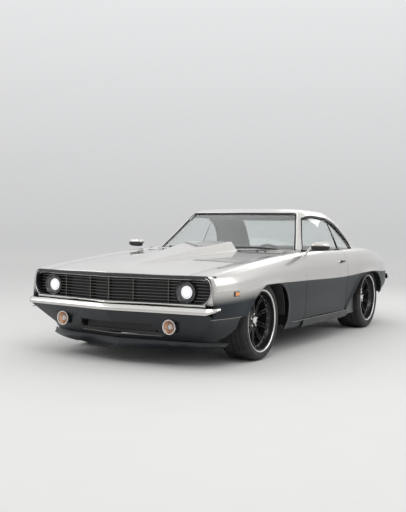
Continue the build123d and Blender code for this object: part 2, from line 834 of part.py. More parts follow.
def underbody():
    firewall_top = belt_front_z - 7
    front = [(firewall_y, firewall_top), (firewall_y, floor_z), (rear_axle_y - 573, floor_z)]
    cabin_floor = swept_x(strip(front, floor_sheet), -sill_inner_x, sill_inner_x)
    riser = swept_x(strip(floor_line(seat_riser), floor_sheet), -sill_inner_x, sill_inner_x)
    rear_floor = swept_x(strip(floor_line(axle_floor), floor_sheet), -rear_house_wall_x, rear_house_wall_x)
    tunnel_end = rear_axle_y - 240
    tunnel = box(-tunnel_half, tunnel_half, firewall_y + 5, tunnel_end, floor_z, tunnel_top)
    hollow_half = tunnel_half - floor_sheet
    hollow = box(-hollow_half, hollow_half, firewall_y - 60, tunnel_end + 40, 0, tunnel_top - floor_sheet)
    bulkhead_line = [(rear_axle_y - 216, kick_z + 2), (rear_axle_y - 111, belt_front_z - 12),
                     (rear_axle_y + 110, belt_front_z - 7)]
    bulkhead = swept_x(strip(bulkhead_line, -floor_sheet), -rear_house_wall_x, rear_house_wall_x)
    pillars = []
    for side in (1, -1):
        x0, x1 = sorted((side * (pillar_outer_x - 70), side * pillar_outer_x))
        pillars.append(box(x0, x1, firewall_y, door_front_y + 20, sill_top_z, pillar_top_z))
    brackets = hinge_brackets() + [hood_hinge_bracket()]
    brackets += [mirrored(bracket) for bracket in brackets]
    body = fused(cabin_floor, riser, rear_floor, tunnel, bulkhead, *pillars, *brackets) - hollow
    for side in (1, -1):
        x0, x1 = sorted((side * (fender_line(door_front_y)[0][0] - 8), side * half_width))
        body = body - box(x0, x1, firewall_y - 20, door_front_y + 5, pillar_top_z, pillar_top_z + 60)
    return body


def wheel_houses():
    hull = side_hull(fender_line, fender_stations(), skin + 0.3)
    front = drum(front_house_wall_x, half_width, front_house_radius + tub_wall, front_axle_y, front_house_z)
    front = front - drum(
        front_house_wall_x + tub_wall, half_width + 1, front_house_radius, front_axle_y, front_house_z,
    )
    front = front - box(0, half_width + 1, front_axle_y - 600, front_axle_y + 600, 0, front_house_z + 40)
    arm_door = box(
        front_house_wall_x - 5, front_house_wall_x + 15, front_axle_y - 130, front_axle_y + 130, 0, 490,
    )
    front = only_solid((front - arm_door) & hull)
    stations = quarter_stations()
    hull2 = side_hull(quarter_line, stations, skin + 0.3)
    rear = drum(rear_house_wall_x, half_width, rear_house_radius + tub_wall, rear_axle_y, rear_tyre_radius)
    rear = rear - drum(
        rear_house_wall_x + tub_wall, half_width + 1, rear_house_radius, rear_axle_y, rear_tyre_radius,
    )
    rear = rear - box(0, half_width + 1, rear_axle_y - 600, rear_axle_y + 600, 0, rear_tyre_radius + 60)
    rear = only_solid(rear & hull2)
    return [front, rear, mirrored(front), mirrored(rear)]


def front_subframe():
    y0, y1 = front_axle_y - 715, firewall_y
    rail_top = rail_z + rail_height
    half = rail_width / 2
    rails = [box(x - half, x + half, y0, y1, rail_z, rail_top) for x in (rail_x, -rail_x)]
    cross = box(-rail_x, rail_x, front_axle_y - 90, front_axle_y + 90, 195, 275)
    nose_beam = box(-rail_x, rail_x, y0, y0 + 60, rail_z, rail_z + 25)
    bumper_seats = [box(x - 25, x + 25, y0, y0 + 20, rail_top, 480) for x in (rail_x, -rail_x)]
    tower_x = rail_x + 5
    towers = [
        box(x - 25, x + 25, front_axle_y - 50, front_axle_y + 50, rail_top, 470)
        for x in (tower_x, -tower_x)
    ]
    return fused(rails[0], rails[1], cross, nose_beam, *bumper_seats, *towers)


def control_arms():
    """Wishbones whose outer ends lie on the steering line, under and over the knuckle."""
    arms = []
    for z0, z1, reach in ((215, knuckle_foot_z, 120), (knuckle_top_z, 456, 70)):
        inner_x0 = rail_x + rail_width / 2
        neck = kingpin_x - 70
        ahead = [(inner_x0, reach), (neck, 24), (kingpin_x, 20)]
        outline = [(x, front_axle_y - dy) for x, dy in ahead]
        outline += [(x, front_axle_y + dy) for x, dy in reversed(ahead)]
        outline += [(inner_x0, front_axle_y + reach - 40), (neck - 40, front_axle_y)]
        outline += [(inner_x0, front_axle_y - reach + 40)]
        arm = swept_z(outline, z0, z1)
        ball = Solid.make_cylinder(16, z1 - z0, Plane(origin=(kingpin_x, front_axle_y, z0)))
        arms += [fused(arm, ball), mirrored(fused(arm, ball))]
    return arms


def leaf_springs():
    y0, y1 = rear_axle_y - 440, rear_axle_y + 600
    line = [(y0, floor_z + 93), (rear_axle_y, rear_tyre_radius - 53), (y1, floor_z + 133)]
    springs = []
    for side in (1, -1):
        x0, x1 = sorted((side * 490, side * 550))
        leaf = swept_x(strip(line, 14), x0, x1)
        eye = box(x0, x1, y0 - 20, y0 + 20, floor_z + 88, floor_z + 138)
        shackle = box(x0 + 10, x1 - 10, y1 - 20, y1, floor_z + 135, floor_z + 180)
        springs.append(fused(leaf, eye, shackle))
    return springs


def rear_axle():
    z = rear_tyre_radius
    tube = drum(-axle_end_x, axle_end_x, 38, rear_axle_y, z)
    diff = drum(-95, 95, 130, rear_axle_y, z)
    nose = pin_y(0, z, 55, rear_axle_y - 190, rear_axle_y)
    start = Vector(0, firewall_y - 20, prop_shaft_z)
    run = Vector(0, rear_axle_y - 185, z) - start
    shaft = Solid.make_cylinder(36, run.length, Plane(origin=start, z_dir=run))
    return fused(tube, diff, nose, shaft)


def engine():
    block = box(-290, 290, front_axle_y - 310, front_axle_y + 400, 275, 700)
    gearbox = box(-110, 110, front_axle_y + 390, firewall_y - 20, 275, 430)
    manifolds = [
        box(s * 312 - 23, s * 312 + 23, front_axle_y - 200, front_axle_y + 260, 400, 500)
        for s in (1, -1)
    ]
    return fused(block, gearbox, *manifolds)


def exhaust():
    radius = 28
    over_axle_z = rear_tyre_radius + 105
    route = [(320, front_axle_y + 230, 400), (320, front_axle_y + 230, 225), (225, front_axle_y + 480, 162),
             (225, rear_axle_y - 700, 162), (330, rear_axle_y - 552, 162), (425, rear_axle_y - 420, 225),
             (425, rear_axle_y - 260, 300), (
                 425, rear_axle_y - 110, over_axle_z,
             ), (425, rear_axle_y + 120, over_axle_z),
             (450, rear_axle_y + 300, 250), (450, tail_y - 70, 262)]
    pipes = []
    for side in (1, -1):
        points = [(side * x, y, z) for x, y, z in route]
        path = FilletPolyline(*points, radius=40)
        start = Plane(origin=points[0], z_dir=(0, 0, -1))
        pipe = sweep(start * Circle(radius), path=path).solid()
        muffler = box(side * 225 - 75, side * 225 + 75, rear_axle_y - 1250, rear_axle_y - 800, 112, 186)
        pipes.append(fused(pipe, muffler))
    return pipes


def fuel_tank():
    return box(-370, 370, rear_axle_y + 385, rear_axle_y + 830, 205, floor_z + 180)


def radiator():
    return box(-330, 330, front_axle_y - 705, front_axle_y - 655, rail_z + 25, 660)


# Interior
def seat(x, width, profile, y, z):
    return swept_x([(y + dy, z + dz) for dy, dz in profile], x - width / 2, x + width / 2)


def front_seats():
    profile = [
        (0, 0), (430, 0), (560, 120), (690, 560), (700, 700), (640, 715), (580, 590), (470, 210),
        (400, 175), (20, 200), (-20, 120),
    ]
    return [seat(s * 395, 470, profile, door_front_y + 460, floor_z + floor_sheet + 0.5) for s in (1, -1)]


def rear_seat():
    rise = (160 - 130) / (531 - 291)
    profile = [
        (0, 0), (225, 225 * rise), (306, 300), (325, 480), (245, 492), (160, 190), (130, 165),
        (-40, 180), (-65, 100), (-50, -50 * rise),
    ]
    bench = seat(0, 1080, profile, rear_axle_y - 531, floor_z + 130 + floor_sheet + 0.6)
    return bench - box(
        -tunnel_half - 6, tunnel_half + 6, rear_axle_y - 700, rear_axle_y, 0, tunnel_top + seat_gap,
    )


wheel_hub = (half_width - 570, door_front_y + 408, belt_front_z - 112)
column_tilt = 20


def dashboard():
    y = firewall_y + floor_sheet
    drops = [(0, 257), (0, 9), (210, 8), (350, 22), (365, 217), (230, 277)]
    panel = swept_x(
        [(y + dy, belt_front_z - drop) for dy, drop in drops], -half_width + 240, half_width - 240,
    )
    axis = Vector(0, math.cos(math.radians(column_tilt)), math.sin(math.radians(column_tilt)))
    hub = Vector(*wheel_hub)
    foot = hub - axis * 260
    column = Solid.make_cylinder(26, 220, Plane(origin=foot, z_dir=axis))
    console = box(-95, 95, y + 380, door_front_y + 1000, tunnel_top + 0.3, 520)
    return [fused(panel, column), console]


def steering_wheel():
    axis = Vector(0, math.cos(math.radians(column_tilt)), math.sin(math.radians(column_tilt)))
    plane = Plane(origin=Vector(*wheel_hub), x_dir=(1, 0, 0), z_dir=axis)
    ring = Solid.make_torus(178, 14, plane)
    hub = Solid.make_cylinder(42, 44, Plane(origin=Vector(*wheel_hub) - axis * 39.7, z_dir=axis))
    spokes = []
    for angle in (0, 180, 270):
        arm = Solid.make_box(170, 26, 10, Plane((0, -13, -5))).rotate(Axis.Z, angle)
        spokes.append(plane.location * arm)
    return fused(ring, hub, *spokes)


# Wheels
def ring_solid(profile, y, z):
    """Turns a closed outline of (x, radius) points about the wheel's axle line."""
    face = face_of([(x, y, z + r) for x, r in profile])
    return Solid.revolve(face, 360, Axis((0, y, z), (1, 0, 0)))


def rim(outer_x, width, y, z, disc_x):
    x0, x1 = outer_x - width, outer_x
    lip = 8
    profile = [
        (x0, lip_radius), (x0 + lip, lip_radius), (x0 + lip, rim_bead_radius), (x0 + 34, rim_bead_radius),
        (x0 + 48, rim_well_radius), (x1 - 90, rim_well_radius), (x1 - 70, rim_bead_radius), (
            x1 - lip, rim_bead_radius,
        ),
        (x1 - lip, lip_radius), (x1, lip_radius), (x1, rim_bead_radius - 10), (
            x1 - 66, rim_bead_radius - 10,
        ),
        (x1 - 92, rim_well_radius - 10), (x0 + 50, rim_well_radius - 10), (x0 + 38, rim_bead_radius - 9),
        (x0, rim_bead_radius - 9),
    ]
    barrel = ring_solid(profile, y, z)
    hub = drum(x1 - 118, x1 - 84, 68, y, z)
    face_x = x1 - 112
    spokes = []
    for k in range(spoke_count):
        arm = Solid.make_box(20, 22, rim_well_radius - 44, Plane((face_x, y - 11, z + 40)))
        spokes.append(arm.rotate(Axis((0, y, z), (1, 0, 0)), 360 * k / spoke_count))
    disc = drum(disc_x, disc_x + disc_sheet, 175, y, z)
    bell = drum(disc_x + 20, x1 - 110, 80, y, z)
    return fused(barrel, hub, *spokes, disc, bell)


def tyre(outer_x, width, radius, y, z):
    x0, x1 = outer_x - width + 5, outer_x - 5
    lip = 8
    bulge = 5
    profile = [
        (x0 + lip, rim_bead_radius), (x0 + lip, lip_radius + 1), (
            x0 - bulge, lip_radius + 30,
        ), (x0 - bulge, radius - 32),
        (x0 + 18, radius - 6), (x0 + 45, radius), (x1 - 45, radius), (x1 - 18, radius - 6), (
            x1 + bulge, radius - 32,
        ),
        (x1 + bulge, lip_radius + 30), (x1 - lip, lip_radius + 1), (x1 - lip, rim_bead_radius),
        (
            x1 - lip - 22, rim_bead_radius,
        ), (x1 - 24, lip_radius + 22), (x1 - 30, radius - 16), (x0 + 30, radius - 16),
        (x0 + 24, lip_radius + 22), (x0 + lip + 22, rim_bead_radius),
    ]
    return ring_solid(profile, y, z)


def knuckle():
    y, z = front_axle_y, front_tyre_radius
    upright = box(
        kingpin_x - 16, kingpin_x + 16, y - 36, y + 36, knuckle_foot_z + seat_gap,
        knuckle_top_z - seat_gap,
    )
    stub = drum(kingpin_x - 10, kingpin_x + disc_offset - seat_gap, 60, y, z)
    caliper = box(kingpin_x - 12, kingpin_x + 60, y + 118, y + 190, z - 70, z + 70)
    slot = drum(kingpin_x + disc_offset - 5, kingpin_x + disc_offset + disc_sheet + 5, 182, y, z)
    bracket = box(kingpin_x - 12, kingpin_x + 12, y + 20, y + 150, z - 30, z + 30)
    return fused(upright, stub, bracket, caliper - slot)


def build_wheels():
    for end, outer_inset, width, radius, axle_y, disc_x in (
        (
            "front", front_face_inset, front_tyre_width, front_tyre_radius, front_axle_y,
            kingpin_x + disc_offset,
        ),
        ("rear", rear_face_inset, rear_tyre_width, rear_tyre_radius, rear_axle_y, axle_end_x + seat_gap),
    ):
        outer_x = half_width - outer_inset
        rim_solid = rim(outer_x - 5, width - 10, axle_y, radius, disc_x)
        tyre_solid = tyre(outer_x, width, radius, axle_y, radius)
        save(f"rim_{end}_left", rim_solid)
        save(f"tyre_{end}_left", tyre_solid)
        save(f"rim_{end}_right", mirrored(rim_solid))
        save(f"tyre_{end}_right", mirrored(tyre_solid))


def build_body():
    marker = side_marker()
    fender = front_fender() - marker
    save("front_fender_left", fender)
    save("front_fender_right", mirrored(fender))
    quarter = quarter_panel()
    save("quarter_panel_left", quarter)
    save("quarter_panel_right", mirrored(quarter))
    handle = door_handle(door_rear_y - 105)
    shell = door_shell() - handle
    glass_mirror = mirror()
    save("door_left", shell, handle)
    save("door_right", mirrored(shell), mirrored(handle))
    save("mirror_left", glass_mirror)
    save("mirror_right", mirrored(glass_mirror))
    save("roof", greenhouse())
    layer = glazing()
    save("windscreen", only_solid(layer & windscreen_prism()))
    save("rear_window", only_solid(layer & rear_window_prism()))
    door_pane, rear_pane = side_panes(layer)
    save("door_glass_left", door_pane)
    save("door_glass_right", mirrored(door_pane))
    save("quarter_windows", rear_pane, mirrored(rear_pane))
    save("hood", hood())
    save("boot_lid", boot_lid())
    save("cowl_panel", cowl_panel())
    save("deck_panel", deck_panel())
    lamps = tail_lamps()
    save("tail_lamps", *lamps)
    save("tail_panel", tail_panel(lamps))
    save("rear_bumper", rear_bumper())
    save("rear_valance", rear_valance())
    front = front_lamps()
    save("front_lamps", *front, marker, mirrored(marker))
    save("front_bumper", front_bumper())
    save("nose_panel", nose_panel())
    save("grille", grille())
    save("front_valance", front_valance(front))
    save("chin_spoiler", chin_spoiler())
    side = sill()
    save("sills", side, mirrored(side))


def build_chassis():
    save("underbody", underbody())
    save("wheel_houses", *wheel_houses())
    save("front_subframe", front_subframe())
    save("control_arms", *control_arms())
    save("leaf_springs", *leaf_springs())
    save("rear_axle", rear_axle())
    save("engine", engine())
    save("exhaust", *exhaust())
    save("fuel_tank", fuel_tank())
    save("radiator", radiator())
    joint = knuckle()
    save("knuckle_left", joint)
    save("knuckle_right", mirrored(joint))


def build_interior():
    save("front_seats", *front_seats())
    save("rear_seat", rear_seat())
    save("dashboard", *dashboard())
    save("steering_wheel", steering_wheel())


build_body()
build_chassis()
build_interior()
build_wheels()
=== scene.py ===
import math

import bmesh
import bpy
import numpy as np
from mathutils import Matrix


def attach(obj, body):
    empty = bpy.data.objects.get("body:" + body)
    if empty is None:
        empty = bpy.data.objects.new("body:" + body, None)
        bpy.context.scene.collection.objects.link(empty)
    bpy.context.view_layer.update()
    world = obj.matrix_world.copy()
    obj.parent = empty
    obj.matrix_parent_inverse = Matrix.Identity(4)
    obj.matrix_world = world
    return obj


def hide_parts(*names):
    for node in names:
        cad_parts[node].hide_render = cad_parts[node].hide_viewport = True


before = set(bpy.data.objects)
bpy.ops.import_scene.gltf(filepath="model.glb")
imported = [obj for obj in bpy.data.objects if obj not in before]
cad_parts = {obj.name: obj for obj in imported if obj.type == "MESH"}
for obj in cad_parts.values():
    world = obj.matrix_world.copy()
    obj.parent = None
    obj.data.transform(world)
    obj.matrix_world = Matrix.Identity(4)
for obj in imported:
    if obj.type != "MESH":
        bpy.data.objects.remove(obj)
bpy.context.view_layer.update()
print("frame loaded")

# metres; the nose points to -Y and the driver sits on +X
car = {
    "halfWidth": 0.940, "noseY": -2.362, "noseVee": 0.1755,
    "frontAxleY": -1.432, "rearAxleY": 1.311, "doorFrontY": -0.603, "doorRearY": 0.483,
    "gap": 0.006, "beltZ": 0.857, "beltRise": 0.0148, "roofZ": 1.288, "cabinZ": 0.880, "seamZ": 0.392,
}


# shape helpers
def cubic(a, b, slopeA, slopeB, f):
    # a(2f^3 - 3f^2 + 1) + slopeA(f^3 - 2f^2 + f) + b(3f^2 - 2f^3) + slopeB(f^3 - f^2)
    f2, f3 = f * f, f * f * f
    return a * (2 * f3 - 3 * f2 + 1) + slopeA * (f3 - 2 * f2 + f) + b * (3 * f2 - 2 * f3) + slopeB * (f3 - f2)


def hermite(knots, values, slopes, at):
    # cubic between knots from values and slopes, for a whole array of places
    at = np.asarray(at, float)
    i = np.clip(np.searchsorted(knots, at, side="right") - 1, 0, len(knots) - 2)
    h = (knots[i + 1] - knots[i])[..., None]
    f = ((at - knots[i]) / (knots[i + 1] - knots[i]))[..., None]
    return cubic(values[i], values[i + 1], slopes[i] * h, slopes[i + 1] * h, f)


def alongRows(rows, at):
    # smooth curve through table rows: first column is the place, each slope comes from both neighbours
    rows = np.asarray(rows, float)
    return hermite(rows[:, 0], rows[:, 1:], np.gradient(rows[:, 1:], rows[:, 0], axis=0), at)


def smoothLine(points, count, closed=False):
    # evenly spaced points on a smooth curve through the given ones, by distance along their chords
    p = np.asarray(points, float)
    wrap = 3 if closed else 0
    if closed:
        p = np.vstack([p[-wrap:], p, p[:wrap + 1]])
    d = np.r_[0, np.cumsum(np.linalg.norm(np.diff(p, axis=0), axis=1))]
    first, last = (d[wrap], d[-1 - wrap]) if closed else (0, d[-1])
    return hermite(d, p, np.gradient(p, d, axis=0), np.linspace(first, last, count, endpoint=not closed))


def straightLine(points, count):
    # evenly spaced points on straight runs
    p = np.asarray(points, float)
    d = np.r_[0, np.cumsum(np.linalg.norm(np.diff(p, axis=0), axis=1))]
    at = np.linspace(0, d[-1], count)
    return np.stack([np.interp(at, d, p[:, k]) for k in range(p.shape[1])], -1)


def roundLine(points, radius, steps=6, closed=False):
    # runs with rounded corners: each corner is a quadratic curve between points a radius away from it
    p = np.asarray(points, float)
    before, after = (np.roll(p, 1, 0), np.roll(p, -1, 0)) if closed else (p[:-2], p[2:])
    mid = p if closed else p[1:-1]
    r = np.broadcast_to(radius, (len(mid),))[:, None]
    a = mid + unit(before - mid) * r
    b = mid + unit(after - mid) * r
    f = np.linspace(0, 1, steps)[None, :, None]
    arcs = ((1 - f) ** 2 * a[:, None] + 2 * f * (1 - f) * mid[:, None] + f * f * b[:, None]).reshape(-1, p.shape[1])
    return arcs if closed else np.vstack([p[:1], arcs, p[-1:]])


def unit(v):
    # vectors over their own length
    return v / np.maximum(np.linalg.norm(v, axis=-1, keepdims=True), 1e-12)


def ease(low, high, value):
    # 0 below low, 1 above high, and between them 3f^2 - 2f^3
    f = np.clip((value - low) / (high - low), 0, 1)
    return f * f * (3 - 2 * f)


def sheetOf(points, closeRows=False, closeCols=False):
    # grid of points to vertices and quads
    rows, cols = points.shape[:2]
    i = np.arange(rows if closeRows else rows - 1)[:, None]
    j = np.arange(cols if closeCols else cols - 1)[None, :]
    i2, j2 = (i + 1) % rows, (j + 1) % cols
    quads = np.stack([i * cols + j, i * cols + j2, i2 * cols + j2, i2 * cols + j], -1).reshape(-1, 4)
    return points.reshape(-1, 3), quads


def capped(grid):
    # tube from a grid whose columns go round: each end ring shrinks to its own middle
    ends = [np.repeat(grid[k:k + 1].mean(1, keepdims=True), grid.shape[1], 1) for k in (0, -1)]
    return sheetOf(np.concatenate([ends[0], grid, ends[1]]), False, True)


def xyz(x, y, z):
    # points from three coordinates, each a number or an array
    return np.stack(np.broadcast_arrays(x, y, z), -1)


def acrossMiddle(grid):
    # a half that starts at X = 0, with its mirror image before it
    return np.concatenate([grid[:, :0:-1] * [-1, 1, 1], grid], 1)


def circle(count):
    # even angles all round, the last one short of the first
    return np.linspace(0, 2 * math.pi, count, endpoint=False)


def oval(wide, high, count=8):
    # points of an ellipse: wide times the cosine, high times the sine
    a = circle(count)
    return np.c_[wide * np.cos(a), high * np.sin(a)]


def signedPower(value, power):
    # the value's size to a power, with its sign kept: below 1 it squares a circle's corners
    return np.sign(value) * np.abs(value) ** power


def joined(*shapes):
    # several shapes as one: vertices stacked, each shape's face numbers moved on by what stands before them
    start = np.cumsum([0] + [len(s[0]) for s in shapes[:-1]])
    return np.vstack([s[0] for s in shapes]), np.vstack([s[1] + k for s, k in zip(shapes, start)])


def flipped(shape):
    # the same shape on the other side, its faces turned back outwards
    return shape[0] * np.array([-1, 1, 1]), shape[1][:, ::-1]


def bothSides(shape):
    # a shape with its mirror image
    return joined(shape, flipped(shape))


def asDrawn(shape):
    # the left side's shapes stay as they are
    return shape


sides = ((1, "left", asDrawn), (-1, "right", flipped))


def copies(shape, places):
    # one copy of a shape at each place
    v, f = shape
    n = len(places)
    moved = (v[None] + np.asarray(places)[:, None]).reshape(-1, 3)
    return moved, (f[None] + np.arange(n)[:, None, None] * len(v)).reshape(-1, 4)


def turned(v, angle, axis, centre=(0, 0, 0)):
    # points turned about a line along one axis, angles may be an array that adds a first dimension
    a, b = [(1, 2), (2, 0), (0, 1)][axis]
    c = np.asarray(centre, float)
    p = v - c
    ang = np.asarray(angle, float)
    ang = ang.reshape(ang.shape + (1,) * (v.ndim - 1))
    out = np.broadcast_to(p, ang.shape[:1] * (ang.ndim > v.ndim - 1) + p.shape).copy()
    out[..., a] = p[..., a] * np.cos(ang) - p[..., b] * np.sin(ang)
    out[..., b] = p[..., a] * np.sin(ang) + p[..., b] * np.cos(ang)
    return out + c


def aroundAxle(shape, angles, centre):
    # copies of a shape turned about an axle along X
    v, f = shape
    v = turned(v, np.asarray(angles), 0, centre).reshape(-1, 3)
    n = len(angles)
    return v, (f[None] + np.arange(n)[:, None, None] * len(shape[0])).reshape(-1, 4)


def swept(path, profile, up=(0, 0, 1), closePath=False, closeProfile=True, grow=None):
    # a profile of (side, up) points carried along a path, square to it
    path, profile = np.asarray(path, float), np.asarray(profile, float)
    ahead = np.roll(path, -1, 0) - np.roll(path, 1, 0) if closePath else np.gradient(path, axis=0)
    side = unit(np.cross(unit(ahead), np.asarray(up, float)))
    high = np.cross(side, unit(ahead))
    scale = np.ones(len(path)) if grow is None else np.asarray(grow, float)
    grid = path[:, None] + scale[:, None, None] * (
        side[:, None] * profile[None, :, :1] + high[:, None] * profile[None, :, 1:])
    return capped(grid) if closeProfile and not closePath else sheetOf(grid, closePath, closeProfile)


def spun(profile, centre, axis, count=64, close=False):
    # a profile of (along, radius) points turned about a line through centre
    profile = np.asarray(profile, float)
    ang = circle(count)
    a, b = [(1, 2), (2, 0), (0, 1)][axis]
    grid = np.zeros((len(profile), count, 3))
    grid[..., axis] = profile[:, :1]
    grid[..., a] = profile[:, 1:] * np.cos(ang)
    grid[..., b] = profile[:, 1:] * np.sin(ang)
    return sheetOf(grid + np.asarray(centre, float), close, True)


def roundedBox(low, high, radius, steps=3):
    # closed box with rounded upright edges and softened top and bottom, from stacked rounded outlines
    lo, hi = np.asarray(low, float), np.asarray(high, float)
    r = min(radius, (hi[0] - lo[0]) / 2.01, (hi[1] - lo[1]) / 2.01)
    ang = np.linspace(0, math.pi / 2, steps + 1)
    corner = np.stack([np.cos(ang), np.sin(ang)], -1)
    outline = np.vstack([
        np.stack([corner[:, 0] * c - corner[:, 1] * s, corner[:, 0] * s + corner[:, 1] * c], -1) * r
        + np.where(np.array([c - s, s + c]) > 0, hi[:2] - r, lo[:2] + r)
        for c, s in ((1, 0), (0, 1), (-1, 0), (0, -1))])
    mid = (lo[:2] + hi[:2]) / 2
    b = min(radius, (hi[2] - lo[2]) / 2.01) * 0.6
    levels = [(lo[2], 0.0), (lo[2], 1 - b / max(hi[0] - lo[0], hi[1] - lo[1])), (lo[2] + b, 1), (hi[2] - b, 1),
              (hi[2], 1 - b / max(hi[0] - lo[0], hi[1] - lo[1])), (hi[2], 0.0)]
    grid = np.stack([np.c_[mid + (outline - mid) * k, np.full(len(outline), z)] for z, k in levels])
    return sheetOf(grid, False, True)


def makePiece(name, shape, finish, stands=(), body="body", out=None, thick=0.0, bevel=0.0, sharp=38,
              marks=None):
    # mesh from vertices and quads; doubles merged, faces turned outwards, then the modifiers that finish it
    used, order = np.unique(shape[1], return_inverse=True)
    verts, quads = shape[0][used], order.reshape(shape[1].shape)
    mesh = bpy.data.meshes.new(name)
    mesh.vertices.add(len(verts))
    mesh.vertices.foreach_set("co", np.ascontiguousarray(verts, np.float32).ravel())
    mesh.loops.add(quads.size)
    mesh.loops.foreach_set("vertex_index", np.ascontiguousarray(quads, np.int32).ravel())
    mesh.polygons.add(len(quads))
    mesh.polygons.foreach_set("loop_start", np.arange(0, quads.size, 4, dtype=np.int32))
    for key, values in (marks or {}).items():
        mesh.attributes.new(key, "FLOAT", "POINT").data.foreach_set("value",
                                                                    np.asarray(values, np.float32).ravel()[used])
    mesh.update(calc_edges=True)
    bm = bmesh.new()
    bm.from_mesh(mesh)
    bmesh.ops.remove_doubles(bm, verts=bm.verts, dist=2e-5)
    bmesh.ops.dissolve_degenerate(bm, edges=bm.edges, dist=1e-6)
    if out is None:
        bmesh.ops.recalc_face_normals(bm, faces=bm.faces)
    else:
        lean = sum((f.normal.dot(out) * f.calc_area() for f in bm.faces), 0.0)
        if lean < 0:
            bmesh.ops.reverse_faces(bm, faces=bm.faces)
    bm.to_mesh(mesh)
    bm.free()
    mesh.shade_smooth()
    mesh.set_sharp_from_angle(angle=math.radians(sharp))
    obj = bpy.data.objects.new(name, mesh)
    bpy.context.scene.collection.objects.link(obj)
    mesh.materials.append(finish)
    if thick:
        wall = obj.modifiers.new("wall", "SOLIDIFY")
        wall.thickness, wall.offset, wall.use_even_offset = thick, -1, False
    if bevel:
        edge = obj.modifiers.new("edges", "BEVEL")
        edge.width, edge.segments, edge.limit_method, edge.angle_limit = bevel, 2, "ANGLE", math.radians(40)
        even = obj.modifiers.new("even", "WEIGHTED_NORMAL")
        even.keep_sharp = True
    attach(obj, body)
    if stands:
        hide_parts(*stands)
    return obj


# finishes
def startFinish(name, colour, rough, metal=0.0, coat=0.0, coatRough=0.05):
    # a material with one Principled shader, its plain values on the sockets themselves
    mat = bpy.data.materials.new(name)
    mat.use_nodes = True
    tree = mat.node_tree
    tree.nodes.clear()
    out = tree.nodes.new("ShaderNodeOutputMaterial")
    shader = tree.nodes.new("ShaderNodeBsdfPrincipled")
    tree.links.new(shader.outputs["BSDF"], out.inputs["Surface"])
    shader.inputs["Base Color"].default_value = (*colour, 1)
    shader.inputs["Roughness"].default_value = rough
    shader.inputs["Metallic"].default_value = metal
    shader.inputs["Coat Weight"].default_value = coat
    shader.inputs["Coat Roughness"].default_value = coatRough
    mat.diffuse_color = (*colour, 1)
    return mat, tree, shader


def addNode(tree, kind, **values):
    # one node; a value that is a socket is linked, any other is set
    node = tree.nodes.new("ShaderNode" + kind)
    for key, value in values.items():
        key = key.replace("_", " ")
        if key.startswith("set "):
            setattr(node, key[4:].replace(" ", "_"), value)
            continue
        socket = node.inputs[int(key[5:])] if key.startswith("slot ") else node.inputs[key]
        if isinstance(value, bpy.types.NodeSocket):
            tree.links.new(value, socket)
        else:
            socket.default_value = value
    return node


def feed(shader, **sockets):
    # node outputs linked to the shader's inputs by name
    for key, socket in sockets.items():
        shader.id_data.links.new(socket, shader.inputs[key.replace("_", " ")])


def blendColour(tree, factor, a, b):
    # colour a where the factor is 0, b where it is 1
    node = tree.nodes.new("ShaderNodeMix")
    node.data_type = "RGBA"
    for socket, value in ((node.inputs[0], factor), (node.inputs[6], a), (node.inputs[7], b)):
        if isinstance(value, bpy.types.NodeSocket):
            tree.links.new(value, socket)
        else:
            socket.default_value = value if isinstance(value, float) else (*value[:3], 1)
    return node.outputs[2]


def mapRange(tree, value, low, high, toLow=0.0, toHigh=1.0):
    # a straight line from (low, toLow) to (high, toHigh), held at both ends
    return addNode(tree, "MapRange", Value=value, From_Min=low, From_Max=high, To_Min=toLow, To_Max=toHigh).outputs[0]


def noise(tree, scale, detail=2.0, stretch=(1, 1, 1), rough=0.5):
    # noise on the object's own coordinates, stretched by a Mapping node
    coords = tree.nodes.new("ShaderNodeTexCoord").outputs["Object"]
    place = addNode(tree, "Mapping", Vector=coords, Scale=stretch).outputs[0]
    return addNode(tree, "TexNoise", Vector=place, Scale=scale, Detail=detail, Roughness=rough).outputs["Fac"]


def addBump(tree, shader, height, strength, distance):
    # the normal leans down the height's slope
    bump = addNode(tree, "Bump", Strength=strength, Distance=distance, Height=height)
    tree.links.new(bump.outputs[0], shader.inputs["Normal"])


def plainFinish(name, colour, rough, metal=0.0, coat=0.0, grain=(900.0, 0.25, 0.0003), mottle=(6.0, 0.12),
                coatRough=0.05):
    # a colour with broad mottling, a roughness that varies with it, and a fine grain in the bump
    mat, tree, shader = startFinish(name, colour, rough, metal, coat, coatRough)
    wide = noise(tree, mottle[0], 4.0)
    k = mottle[1]
    dark, light = [tuple(min(1, c * f) for c in colour) for f in (1 - k, 1 + k)]
    feed(shader, Base_Color=blendColour(tree, wide, dark, light),
         Roughness=mapRange(tree, wide, 0.3, 0.7, max(0.02, rough * 0.85), min(1, rough * 1.15)))
    if grain[1]:
        addBump(tree, shader, noise(tree, grain[0], 3.0), grain[1], grain[2])
    return mat


# groundReflection is the near-black painted reflection of the dark ground on the silver below the crease
paint = {
    "silver": (0.60, 0.585, 0.56), "groundReflection": (0.030, 0.036, 0.041), "silverRough": 0.27, "flake": 2600.0,
    "coat": 1.0, "coatRough": 0.03,
}


